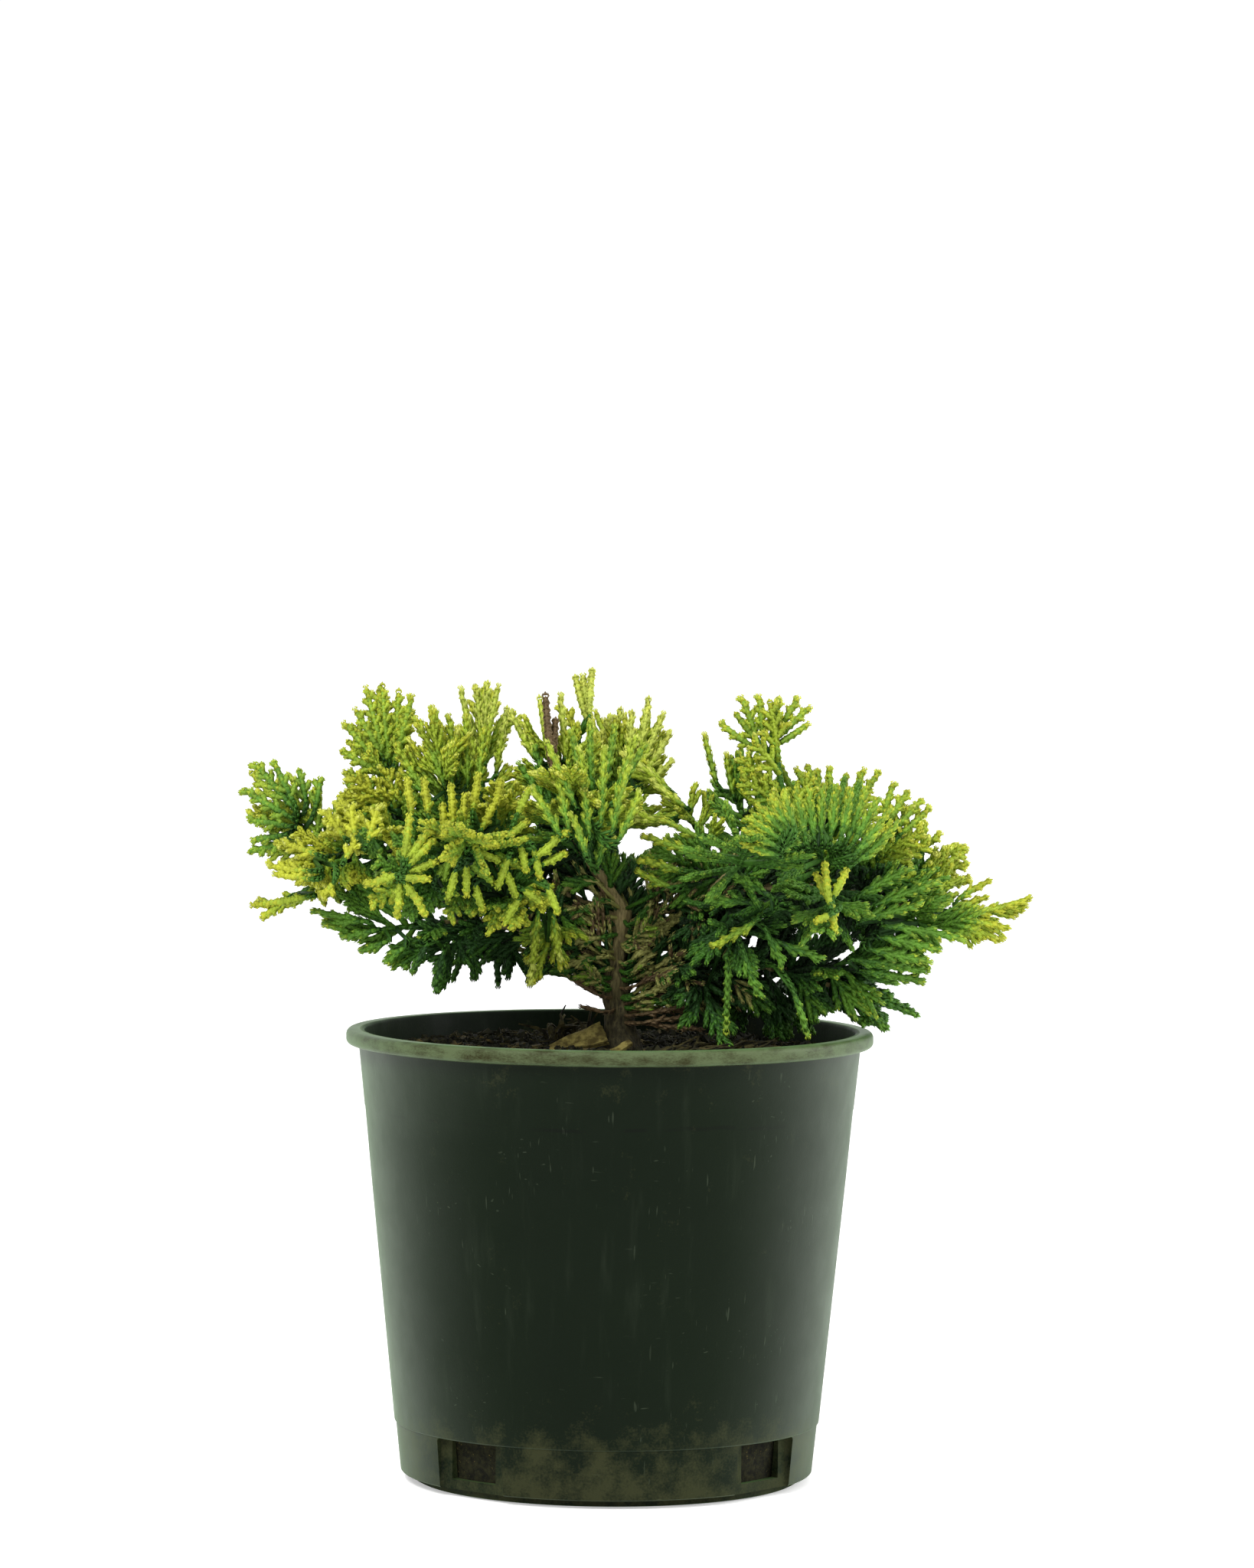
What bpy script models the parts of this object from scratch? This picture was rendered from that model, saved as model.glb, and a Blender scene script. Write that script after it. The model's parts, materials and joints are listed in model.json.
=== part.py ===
"""A dwarf spreading conifer in a round three-litre nursery pot.

Metres, +Z up. The origin is the centre of the pot's flat underside, and -Y is the front.
Every sub-part is one object: pot, potting mix, bark chip, trunk, boughs and masses of foliage.
"""
import math
import random
from collections import namedtuple

import bmesh
import bpy
import numpy as np
from mathutils import Matrix, Vector, noise

# Pot
POT_HEIGHT = 0.162
RIM_RADIUS = 0.095
RIM_HEIGHT = 0.0052
RIM_ROUNDING = 0.0011
WALL_RADIUS_AT_GROUND = 0.0746
WALL_TAPER = 0.1009
WALL = 0.0018
POT_STEPS = 48
FLOOR = 0.0045

# Foot band with its four drainage windows
BAND_TOP = 0.0209
BAND_BOTTOM = 0.0026
BAND_RECESS = 0.0006
BAND_WALL = 0.0058
FOOT_RADIUS = 0.0702
WINDOW_BEARINGS = (49.5, 139.5, 229.5, 319.5)
BAY_WIDTH = 0.030
BAY_DISTANCE = 0.0716
WINDOW_WIDTH = 0.021
WINDOW_BOTTOM = 0.0060
WINDOW_TOP = 0.0198

# Potting mix
SOIL_TOP = 0.155
SOIL_FLAT_RADIUS = 0.060
SOIL_BROW_RADIUS = 0.070
SOIL_SLOPE_RADIUS = 0.079
SOIL_LUMP = 0.0016
SOIL_LUMP_SIZE = 0.012

# Pieces that touch keep this gap
GAP = 0.0003

# Foliage: a mass is a fan of twigs on one stem, and a spray of scale leaves is a blade with five fingers
STEM_RADIUS = 0.0010
STEM_TIP_RADIUS = 0.0007
STEM_SPANS = 3
TWIG_RADIUS = 0.0008
TWIG_TAPER = 0.75
TWIG_SPACING = 0.0048
FIRST_TWIG = 0.08
FEWEST_TWIGS = 4
SPRAY_LENGTH = 0.025
SPRAY_SHARE = 0.75
SPRAY_THICKNESS = 0.0036
SPRAY_HUB = 0.36
FINGERS = 5
FINGER_TURN = 34
OPEN_SPREAD = 0.015
NOTCH_DEPTH = 0.5
SHORTEST_SPRAY = 0.011
BARE_TWIG = 1.02

# How a twig leaves its stem, in degrees: its angle at the stem's foot, how much smaller the angle is at the tip, and
# how far the draws may turn it
FOOT_ANGLE = 66
ANGLE_DROP = 34
ANGLE_DRAW = 8
TILT_DRAW = 60
TWIST_DRAW = 30
CUT_BACKS = (1.0, 0.85, 0.7, 0.55)
STEEPEST_START = 0.4
STEEPEST_TIP_START = 0.5

# Room that a mass keeps to
ROOM_SHARE = 0.54
BALL_SPACING = 0.0015
ROOT_SHARE = 0.45
OWN_CLEARANCE = 0.6
ROOT_BALLS = (0.3, 0.65, 1.0)
FINGER_BALLS = (0.2, 0.35, 0.5, 0.65, 0.8, 0.95)

# Where the photograph was taken from, and sky seen through the crown: centre across and up on the plane
# through the pot's axis, half width and half height
EYE = (0.0066, -2.15, 0.34)
SKY = (
    (0.0075, 0.2265, 0.0072, 0.0036),
    (0.0145, 0.2435, 0.0030, 0.0026),
    (0.0230, 0.2330, 0.0042, 0.0028),
    (-0.0090, 0.2080, 0.0034, 0.0034),
)

Finish = namedtuple("Finish", "colour roughness")
FINISHES = {
    "pot_plastic": Finish((0.030, 0.045, 0.036), 0.55),
    "potting_mix": Finish((0.030, 0.021, 0.013), 0.95),
    "bark_chip": Finish((0.230, 0.150, 0.070), 0.85),
    "bark": Finish((0.150, 0.100, 0.055), 0.85),
    "gold": Finish((0.440, 0.460, 0.030), 0.60),
    "lime": Finish((0.290, 0.420, 0.045), 0.60),
    "green": Finish((0.085, 0.230, 0.025), 0.60),
    "deep": Finish((0.025, 0.095, 0.022), 0.60),
    "olive": Finish((0.090, 0.105, 0.035), 0.70),
}

# A limb grows from its parent at a station, 0 at the parent's foot to 1 at its tip, through its route.
Limb = namedtuple("Limb", "name parent station route foot_radius tip_radius")
TRUNK_ROUTE = (
    (0.0042, 0.0, SOIL_TOP + GAP),
    (0.0042, 0.0, 0.1572),
    (0.0036, 0.0002, 0.161),
    (0.0029, 0.0004, 0.169),
    (0.0019, 0.0005, 0.179),
    (0.0022, 0.0003, 0.188),
    (0.0036, 0.0, 0.197),
    (0.0043, 0.0, 0.205),
)
TRUNK_RADII = (0.0082, 0.0066, 0.0055, 0.0047, 0.0039, 0.0033, 0.0030, 0.0027)
LIMBS = (
    Limb("bough_leader", "trunk", 1.0,
         ((-0.006, -0.001, 0.220), (-0.013, -0.003, 0.230), (-0.016, -0.004, 0.238)), 0.0021, 0.0012),
    Limb("bough_centre", "trunk", 0.97, ((-0.001, 0.012, 0.217), (-0.003, 0.016, 0.229)), 0.0014, 0.0009),
    Limb("bough_back", "trunk", 0.92, ((0.003, 0.018, 0.213), (0.001, 0.034, 0.220)), 0.0014, 0.0009),
    Limb("bough_left", "trunk", 0.93,
         ((-0.014, 0.002, 0.209), (-0.036, 0.003, 0.217), (-0.058, 0.002, 0.223), (-0.080, 0.0, 0.225),
          (-0.101, -0.001, 0.222)), 0.0019, 0.0007),
    Limb("bough_left_low", "trunk", 0.68,
         ((-0.016, -0.004, 0.192), (-0.037, -0.006, 0.199), (-0.057, -0.008, 0.201)), 0.0015, 0.0008),
    Limb("bough_left_back", "bough_left", 0.30,
         ((-0.033, 0.020, 0.219), (-0.043, 0.034, 0.222)), 0.0012, 0.0008),
    Limb("bough_left_front", "bough_left", 0.36,
         ((-0.040, -0.018, 0.221), (-0.045, -0.034, 0.224)), 0.0012, 0.0008),
    Limb("bough_right", "trunk", 0.86,
         ((0.015, -0.002, 0.204), (0.032, -0.003, 0.209), (0.052, -0.003, 0.213), (0.072, -0.004, 0.214),
          (0.088, -0.004, 0.212), (0.103, -0.004, 0.208)), 0.0018, 0.0007),
    Limb("bough_right_low", "trunk", 0.58,
         ((0.016, -0.004, 0.184), (0.037, -0.008, 0.187), (0.058, -0.010, 0.185), (0.077, -0.011, 0.180)),
         0.0014, 0.0008),
    Limb("bough_right_back", "bough_right", 0.28,
         ((0.040, 0.018, 0.214), (0.051, 0.034, 0.218)), 0.0012, 0.0008),
    Limb("bough_right_front", "bough_right", 0.34,
         ((0.040, -0.020, 0.218), (0.044, -0.034, 0.221)), 0.0012, 0.0008),
)

# A mass grows from a limb at a station to its furthest tip. spread and depth are the half width and half
# thickness of its fan, looks is the way that the fan's flat side faces, and arch raises the stem's middle.
FRONT = (0.0, -1.0, 0.15)
LEFT = (-0.5, -1.0, 0.3)
RIGHT = (0.5, -1.0, 0.3)
SHELF = (0.0, -0.55, 1.0)
SHELF_L = (-0.6, -0.3, 1.0)
SHELF_R = (0.6, -0.3, 1.0)
REAR = (0.0, 0.5, 1.0)
Mass = namedtuple("Mass", "name limb station tip spread depth looks arch tone")
MASSES = (
    Mass("left_fan", "bough_left", 0.97, (-0.131, 0.008, 0.254), 0.020, 0.014, FRONT, -0.002, "lime"),
    Mass("left_low_sprig", "bough_left", 0.92, (-0.1305, -0.014, 0.2035), 0.009, 0.009, FRONT, -0.003, "lime"),
    Mass("left_tier_low", "bough_left", 0.86, (-0.120, -0.040, 0.220), 0.015, 0.013, LEFT, 0.002, "gold"),
    Mass("left_tier_mid", "bough_left", 0.73, (-0.100, -0.050, 0.238), 0.015, 0.013, LEFT, 0.002, "gold"),
    Mass("left_tier_high", "bough_left", 0.65, (-0.096, -0.014, 0.254), 0.014, 0.013, FRONT, 0.004, "gold"),
    Mass("left_crest", "bough_left", 0.79, (-0.085, 0.020, 0.283), 0.016, 0.014, FRONT, 0.0, "lime"),
    Mass("left_slope", "bough_left", 0.57, (-0.065, -0.018, 0.277), 0.012, 0.014, FRONT, 0.0, "lime"),
    Mass("left_brush", "bough_left", 0.50, (-0.047, 0.026, 0.284), 0.014, 0.015, FRONT, 0.0, "lime"),
    Mass("left_mid", "bough_left", 0.43, (-0.041, -0.036, 0.252), 0.014, 0.014, FRONT, 0.0, "gold"),
    Mass("left_star", "bough_left_front", 0.66, (-0.084, -0.064, 0.211), 0.018, 0.014, FRONT, 0.004, "gold"),
    Mass("left_front_low", "bough_left_front", 0.50, (-0.034, -0.062, 0.202), 0.017, 0.014, SHELF, 0.002, "gold"),
    Mass("left_front_fan", "bough_left_front", 1.0, (-0.054, -0.088, 0.240), 0.020, 0.014, SHELF, 0.0, "lime"),
    Mass("left_under", "bough_left_low", 1.0, (-0.104, -0.026, 0.196), 0.018, 0.016, FRONT, 0.0, "green"),
    Mass("left_drop", "bough_left_low", 0.88, (-0.068, -0.030, 0.175), 0.016, 0.014, FRONT, 0.0, "deep"),
    Mass("left_drop_inner", "bough_left_low", 0.62, (-0.050, 0.022, 0.175), 0.015, 0.014, FRONT, 0.0, "deep"),
    Mass("left_tassel", "bough_left", 0.20, (-0.0285, -0.036, 0.177), 0.009, 0.010, FRONT, 0.004, "lime"),
    Mass("trunk_left", "trunk", 0.46, (-0.030, 0.018, 0.188), 0.012, 0.014, FRONT, 0.0, "olive"),
    Mass("crown_left", "bough_leader", 1.0, (-0.022, -0.016, 0.280), 0.014, 0.014, FRONT, 0.0, "lime"),
    Mass("crown_spire", "bough_leader", 0.80, (-0.0105, -0.002, 0.2904), 0.007, 0.009, FRONT, 0.0, "gold"),
    Mass("crown_mid", "bough_back", 0.60, (-0.004, 0.034, 0.276), 0.017, 0.014, FRONT, 0.0, "lime"),
    Mass("crown_right", "bough_centre", 1.0, (0.016, 0.004, 0.278), 0.015, 0.014, FRONT, 0.0, "lime"),
    Mass("crown_front", "bough_leader", 0.60, (-0.014, -0.066, 0.258), 0.020, 0.014, SHELF, 0.0, "lime"),
    Mass("crown_back", "bough_back", 1.0, (-0.002, 0.092, 0.256), 0.024, 0.016, REAR, 0.0, "lime"),
    Mass("bridge_high", "bough_right", 0.42, (0.007, -0.010, 0.257), 0.009, 0.012, FRONT, 0.010, "lime"),
    Mass("bridge_low", "bough_right", 0.47, (0.011, -0.024, 0.230), 0.011, 0.012, FRONT, 0.0, "green"),
    Mass("right_spears", "bough_right", 0.54, (0.037, 0.018, 0.267), 0.012, 0.014, FRONT, 0.0, "green"),
    Mass("right_plume", "bough_right", 0.62, (0.056, -0.012, 0.281), 0.016, 0.013, FRONT, 0.0, "green"),
    Mass("right_dome", "bough_right", 0.70, (0.073, -0.052, 0.249), 0.027, 0.014, RIGHT, 0.002, "green"),
    Mass("right_crest", "bough_right", 0.77, (0.078, 0.030, 0.255), 0.021, 0.015, FRONT, 0.0, "lime"),
    Mass("right_shoulder", "bough_right", 0.85, (0.108, -0.016, 0.247), 0.016, 0.015, FRONT, 0.0, "lime"),
    Mass("right_flank", "bough_right", 0.93, (0.129, 0.018, 0.226), 0.014, 0.015, FRONT, 0.0, "lime"),
    Mass("right_reach", "bough_right", 1.0, (0.1525, -0.006, 0.2070), 0.012, 0.014, FRONT, -0.002, "lime"),
    Mass("right_skirt", "bough_right", 0.88, (0.130, -0.038, 0.193), 0.016, 0.014, FRONT, 0.0, "green"),
    Mass("right_fringe", "bough_right_low", 0.78, (0.112, -0.034, 0.182), 0.014, 0.014, FRONT, 0.003, "green"),
    Mass("right_trail", "bough_right_low", 1.0, (0.110, 0.010, 0.168), 0.013, 0.014, FRONT, 0.0, "deep"),
    Mass("right_sprig", "bough_right", 0.74, (0.076, -0.064, 0.201), 0.015, 0.013, FRONT, 0.004, "gold"),
    Mass("right_inner", "bough_right", 0.40, (0.048, -0.044, 0.188), 0.018, 0.014, FRONT, 0.002, "deep"),
    Mass("right_drop", "bough_right_low", 0.42, (0.041, -0.030, 0.160), 0.012, 0.012, FRONT, 0.0, "green"),
    Mass("right_under", "bough_right_low", 0.62, (0.074, 0.014, 0.164), 0.017, 0.015, FRONT, 0.0, "deep"),
    Mass("trunk_right", "trunk", 0.70, (0.031, 0.020, 0.196), 0.015, 0.014, FRONT, -0.002, "olive"),
    Mass("left_back_crest", "bough_left_back", 1.0, (-0.060, 0.082, 0.254), 0.023, 0.016, REAR, 0.0, "lime"),
    Mass("left_back_shelf", "bough_left_back", 0.66, (-0.098, 0.050, 0.216), 0.022, 0.016, SHELF_L, 0.0, "green"),
    Mass("right_back_crest", "bough_right_back", 1.0, (0.068, 0.082, 0.248), 0.023, 0.016, REAR, 0.0, "green"),
    Mass("right_back_shelf", "bough_right_back", 0.62, (0.104, 0.048, 0.214), 0.022, 0.016, SHELF_R, 0.0, "green"),
    Mass("right_front_fan", "bough_right_front", 1.0, (0.048, -0.090, 0.236), 0.021, 0.014, SHELF, 0.0, "green"),
)

# A flake of bark that lies on the mix
CHIP_CENTRE = (-0.017, 0.006)
CHIP_SIZE = (0.018, 0.008, 0.003)
CHIP_BEARING = 20
CHIP_POINT = 0.45
CHIP_CHAMFER = 0.7


def clear_scene():
    """Removes whatever the scene holds."""
    for obj in list(bpy.data.objects):
        bpy.data.objects.remove(obj)


def new_collection(name):
    """A collection of that name, linked to the scene."""
    collection = bpy.data.collections.new(name)
    bpy.context.scene.collection.children.link(collection)
    return collection


def material(name):
    """The Principled material of a finish, made once."""
    found = bpy.data.materials.get(name)
    if found:
        return found
    made = bpy.data.materials.new(name)
    made.use_nodes = True
    shader = made.node_tree.nodes["Principled BSDF"]
    shader.inputs["Base Color"].default_value = (*FINISHES[name].colour, 1.0)
    shader.inputs["Roughness"].default_value = FINISHES[name].roughness
    shader.inputs["Metallic"].default_value = 0.0
    made.diffuse_color = (*FINISHES[name].colour, 1.0)
    return made


def mesh_object(name, shape, collection):
    """The bmesh as an object, and the bmesh freed."""
    mesh = bpy.data.meshes.new(name)
    shape.to_mesh(mesh)
    shape.free()
    obj = bpy.data.objects.new(name, mesh)
    collection.objects.link(obj)
    return obj


def turned(name, profile, steps, collection):
    """An outline in radius and height, run down its outer side, turned about Z."""
    shape = bmesh.new()
    corners = [shape.verts.new((radius, 0.0, height)) for radius, height in profile]
    for first, second in zip(corners, corners[1:]):
        shape.edges.new((first, second))
    obj = mesh_object(name, shape, collection)
    screw = obj.modifiers.new("turn", "SCREW")
    screw.steps = steps
    screw.render_steps = steps
    screw.use_merge_vertices = True
    screw.merge_threshold = 0.00001
    return obj


def wall_radius(height):
    """Outside radius of the pot's tapering wall."""
    return WALL_RADIUS_AT_GROUND + WALL_TAPER * height


def cutter_box(name, bearing, near, half_width, low, high, collection):
    """A box outside the wall at a bearing from the front, from near the axis outwards."""
    far = RIM_RADIUS
    shape = bmesh.new()
    bmesh.ops.create_cube(shape, size=1.0)
    bmesh.ops.scale(shape, vec=(2 * half_width, far - near, high - low), verts=shape.verts)
    bmesh.ops.translate(shape, vec=(0, -(near + far) / 2, (low + high) / 2), verts=shape.verts)
    obj = mesh_object(name, shape, collection)
    obj.rotation_euler.z = math.radians(bearing)
    obj.hide_render = True
    obj.display_type = "WIRE"
    return obj


def cut_with(obj, name, cutters):
    """Cuts every shape of a collection from the object."""
    cut = obj.modifiers.new(name, "BOOLEAN")
    cut.operation = "DIFFERENCE"
    cut.operand_type = "COLLECTION"
    cut.collection = cutters
    cut.solver = "EXACT"


def build_pot(collection):
    """The turned pot, with a flat bay in its foot band at each window, and the window through it."""
    rim_under = POT_HEIGHT - RIM_HEIGHT
    inner_top = wall_radius(rim_under) - WALL
    band_inside = BAND_TOP + WALL
    profile = (
        (0.0, FLOOR),
        (wall_radius(FLOOR) - BAND_WALL, FLOOR),
        (wall_radius(band_inside) - BAND_WALL, band_inside),
        (wall_radius(band_inside + WALL) - WALL, band_inside + WALL),
        (inner_top, rim_under),
        (inner_top, POT_HEIGHT - RIM_ROUNDING),
        (inner_top + RIM_ROUNDING, POT_HEIGHT),
        (RIM_RADIUS - RIM_ROUNDING, POT_HEIGHT),
        (RIM_RADIUS, POT_HEIGHT - RIM_ROUNDING),
        (RIM_RADIUS, rim_under + RIM_ROUNDING),
        (RIM_RADIUS - RIM_ROUNDING, rim_under),
        (wall_radius(rim_under), rim_under),
        (wall_radius(BAND_TOP), BAND_TOP),
        (wall_radius(BAND_TOP) - BAND_RECESS, BAND_TOP - BAND_RECESS),
        (wall_radius(BAND_BOTTOM) - BAND_RECESS, BAND_BOTTOM),
        (FOOT_RADIUS, BAND_BOTTOM),
        (FOOT_RADIUS - 2 * BAND_RECESS, 0.0),
        (0.0, 0.0),
    )
    pot = turned("pot", profile, POT_STEPS, collection)
    bays = new_collection("bay cutters")
    windows = new_collection("window cutters")
    bay_top = (BAND_TOP - BAND_RECESS + WINDOW_TOP) / 2
    for bearing in WINDOW_BEARINGS:
        cutter_box("bay", bearing, BAY_DISTANCE, BAY_WIDTH / 2, -GAP, bay_top, bays)
        window_back = FOOT_RADIUS - BAND_WALL
        cutter_box("window", bearing, window_back, WINDOW_WIDTH / 2, WINDOW_BOTTOM, WINDOW_TOP, windows)
    cut_with(pot, "bays", bays)
    cut_with(pot, "windows", windows)
    pot.data.materials.append(material("pot_plastic"))


def build_soil(collection):
    """The potting mix that fills the pot: flat round the trunk, lumpy and lower towards the wall."""
    def inside(height, wall):
        return wall_radius(height) - wall - GAP

    low = FLOOR + GAP
    band_inside = BAND_TOP + WALL
    edge = SOIL_TOP - SOIL_LUMP
    profile = (
        (0.0, SOIL_TOP),
        (SOIL_FLAT_RADIUS, SOIL_TOP),
        (SOIL_BROW_RADIUS, SOIL_TOP),
        (SOIL_SLOPE_RADIUS, SOIL_TOP - SOIL_LUMP / 2),
        (inside(edge, WALL), edge - SOIL_LUMP),
        (inside(band_inside + 2 * WALL, WALL), band_inside + 2 * WALL),
        (inside(band_inside, BAND_WALL), band_inside),
        (inside(low, BAND_WALL), low),
        (0.0, low),
    )
    soil = turned("potting_mix", profile, POT_STEPS, collection)
    graph = bpy.context.evaluated_depsgraph_get()
    mesh = bpy.data.meshes.new_from_object(soil.evaluated_get(graph))
    soil.modifiers.clear()
    soil.data = mesh
    for vertex in mesh.vertices:
        out = math.hypot(vertex.co.x, vertex.co.y)
        if vertex.co.z > edge - 2 * SOIL_LUMP and SOIL_FLAT_RADIUS < out < inside(edge, WALL) - GAP:
            vertex.co.z += SOIL_LUMP * noise.noise(vertex.co / SOIL_LUMP_SIZE)
    mesh.materials.append(material("potting_mix"))


def build_chip(collection):
    """A split flake of bark: a box with one end drawn in and its upper face narrower."""
    shape = bmesh.new()
    bmesh.ops.create_cube(shape, size=1.0)
    for vertex in shape.verts:
        narrow = CHIP_POINT if vertex.co.x > 0 else 1.0
        narrow *= CHIP_CHAMFER if vertex.co.z > 0 else 1.0
        vertex.co.y *= narrow
    bmesh.ops.scale(shape, vec=CHIP_SIZE, verts=shape.verts)
    chip = mesh_object("bark_chip", shape, collection)
    chip.location = (*CHIP_CENTRE, SOIL_TOP + GAP + CHIP_SIZE[2] / 2)
    chip.rotation_euler.z = math.radians(CHIP_BEARING)
    chip.data.materials.append(material("bark_chip"))


def smooth_path(points, per_span):
    """Points along a Catmull-Rom curve through the given ones."""
    ends = [2 * points[0] - points[1], *points, 2 * points[-1] - points[-2]]
    path = []
    for a, b, c, d in zip(ends, ends[1:], ends[2:], ends[3:]):
        for step in range(per_span):
            t = step / per_span
            square = (2 * a - 5 * b + 4 * c - d) * t**2
            cube = (3 * b - a - 3 * c + d) * t**3
            path.append(0.5 * (2 * b + (c - a) * t + square + cube))
    return [*path, points[-1]]


class Line:
    """A limb or stem: the points of its centre line, and its radius at each."""

    def __init__(self, name, points, radii):
        self.name = name
        self.points = points
        self.radii = radii

    def at(self, station):
        """Centre, direction and radius at a station, 0 at the foot to 1 at the tip."""
        place = station * (len(self.points) - 1)
        span = min(int(place), len(self.points) - 2)
        part = place - span
        first, second = self.points[span], self.points[span + 1]
        radius = self.radii[span] + (self.radii[span + 1] - self.radii[span]) * part
        return first.lerp(second, part), (second - first).normalized(), radius

    def spring(self, station, target, radius):
        """Where a branch of that radius starts towards the target, clear of this line by the gap."""
        centre, along, own_radius = self.at(station)
        way = (target - centre).normalized()
        cosine = abs(way.dot(along))
        sine = math.sqrt(max(0.0, 1 - cosine**2))
        if station == 1.0:
            return centre + way * (GAP + radius * sine) / max(cosine, STEEPEST_TIP_START)
        return centre + way * (own_radius + GAP + radius * cosine) / max(sine, STEEPEST_START)


def limb_lines():
    """The centre lines of the trunk and every bough, by name."""
    lines = {"trunk": Line("trunk", [Vector(p) for p in TRUNK_ROUTE], list(TRUNK_RADII))}
    for limb in LIMBS:
        route = [Vector(p) for p in limb.route]
        start = lines[limb.parent].spring(limb.station, route[0], limb.foot_radius)
        points = smooth_path([start, *route], 2)
        radii = np.linspace(limb.foot_radius, limb.tip_radius, len(points)).tolist()
        lines[limb.name] = Line(limb.name, points, radii)
    return lines


def tube(line, sides, collection):
    """A tapering limb as a curve with its ends closed. sides is 4, 6 or 8."""
    curve = bpy.data.curves.new(line.name, "CURVE")
    curve.dimensions = "3D"
    curve.bevel_depth = 1.0
    curve.bevel_resolution = sides // 2 - 2
    curve.use_fill_caps = True
    spline = curve.splines.new("POLY")
    spline.points.add(len(line.points) - 1)
    for control, point, radius in zip(spline.points, line.points, line.radii):
        control.co = (*point, 1.0)
        control.radius = radius
    obj = bpy.data.objects.new(line.name, curve)
    collection.objects.link(obj)
    return obj


def as_mesh(obj, collection):
    """The curve as a mesh object of the same name, with its caps welded on."""
    graph = bpy.context.evaluated_depsgraph_get()
    mesh = bpy.data.meshes.new_from_object(obj.evaluated_get(graph))
    shape = bmesh.new()
    shape.from_mesh(mesh)
    bmesh.ops.remove_doubles(shape, verts=shape.verts, dist=0.000001)
    name = obj.name
    bpy.data.objects.remove(obj)
    return mesh_object(name, shape, collection)


class Fan:
    """The room and the axes of one mass: a stem that arches from its limb to its furthest tip."""

    def __init__(self, mass, lines):
        self.mass = mass
        self.tip = Vector(mass.tip)
        self.foot = lines[mass.limb].spring(mass.station, self.tip, STEM_RADIUS)
        chord = self.tip - self.foot
        self.reach = chord.length
        self.along = chord.normalized()
        self.side = self.along.cross(Vector(mass.looks)).normalized()
        self.face = self.side.cross(self.along)
        self.top = self.foot.lerp(self.tip, 0.5) + Vector((0, 0, 2 * mass.arch))
        self.centre = self.foot.lerp(self.tip, 1 - ROOM_SHARE)
        self.halves = (ROOM_SHARE * self.reach, mass.spread, mass.depth)
        self.spray_length = min(SPRAY_LENGTH, SPRAY_SHARE * self.reach)
        self.turn = math.radians(FINGER_TURN) * min(1.0, mass.spread / OPEN_SPREAD)
        self.line = self.stem()

    def arc(self, share):
        """A point on the arch that the stem follows, 0 at the limb to 1 at the furthest tip."""
        return self.foot.lerp(self.top, share).lerp(self.top.lerp(self.tip, share), share)

    def stem(self):
        """The bare stem's line, which ends at the hub of the last spray."""
        end = 1 - (1 - SPRAY_HUB) * self.spray_length / self.reach
        shares = np.linspace(0.0, end, STEM_SPANS + 1).tolist()
        radii = np.linspace(STEM_RADIUS, STEM_TIP_RADIUS, STEM_SPANS + 1).tolist()
        return Line(self.mass.name, [self.arc(share) for share in shares], radii)

    def last_spray(self):
        """The spray at the furthest tip."""
        hub = self.line.points[-1]
        way = (self.tip - hub).normalized()
        return Spray(self.tip - way * self.spray_length, way, self.side, self.spray_length, self.turn)

    def offset(self, point):
        """The point from the middle of the mass's ellipsoid in its half axes, less the stem's arch."""
        share = (point - self.foot).dot(self.along) / self.reach
        arch = Vector((0, 0, 4 * self.mass.arch * share * (1 - share)))
        return self.in_halves(point - arch - self.centre)

    def in_halves(self, vector):
        """The vector along the fan's three axes, each in its half axis of the ellipsoid."""
        return [vector.dot(axis) / half for axis, half in zip((self.along, self.side, self.face), self.halves)]

    def room_along(self, start, way):
        """How far a twig from the stem can run before it leaves the mass's ellipsoid."""
        offset = self.offset(start)
        step = self.in_halves(way)
        square = sum(s * s for s in step)
        mixed = sum(o * s for o, s in zip(offset, step))
        rest = sum(o * o for o in offset) - 1
        return (math.sqrt(max(0.0, mixed * mixed - square * rest)) - mixed) / square


Twig = namedtuple("Twig", "start end")
Spray = namedtuple("Spray", "root way side length turn")


def spray_outline(spray):
    """The points round a spray: fingertips with notches between them, then its root."""
    hub = spray.root + spray.way * SPRAY_HUB * spray.length
    across = (spray.side - spray.way * spray.side.dot(spray.way)).normalized()
    points = []
    for corner in range(1 - FINGERS, FINGERS):
        bearing = corner * spray.turn / 2
        reach = (1 - SPRAY_HUB) * spray.length * math.cos(bearing / 1.5)
        reach *= 1 - NOTCH_DEPTH * (corner % 2)
        points.append(hub + (math.cos(bearing) * spray.way + math.sin(bearing) * across) * reach)
    return [*points, spray.root]


def spray_balls(spray):
    """Balls along a spray from its root, over its hub and out along its fingers."""
    hub = spray.root + spray.way * SPRAY_HUB * spray.length
    balls = [(spray.root.lerp(hub, share), SPRAY_THICKNESS / 2 * (0.4 + share)) for share in ROOT_BALLS]
    tips = spray_outline(spray)[:-1:2]
    for share in FINGER_BALLS:
        for tip in tips:
            width = math.sin(spray.turn / 2) * (tip - hub).length * min(share, 1 - share) + GAP
            balls.append((hub.lerp(tip, share), max(width, SPRAY_THICKNESS / 2 * (1 - share))))
    return balls


def line_balls(line):
    """Balls along a limb or stem."""
    balls = []
    for span in range(len(line.points) - 1):
        count = math.ceil((line.points[span + 1] - line.points[span]).length / BALL_SPACING)
        for n in range(count + 1):
            centre, _, radius = line.at((span + n / count) / (len(line.points) - 1))
            balls.append((centre, radius))
    return balls


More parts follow.
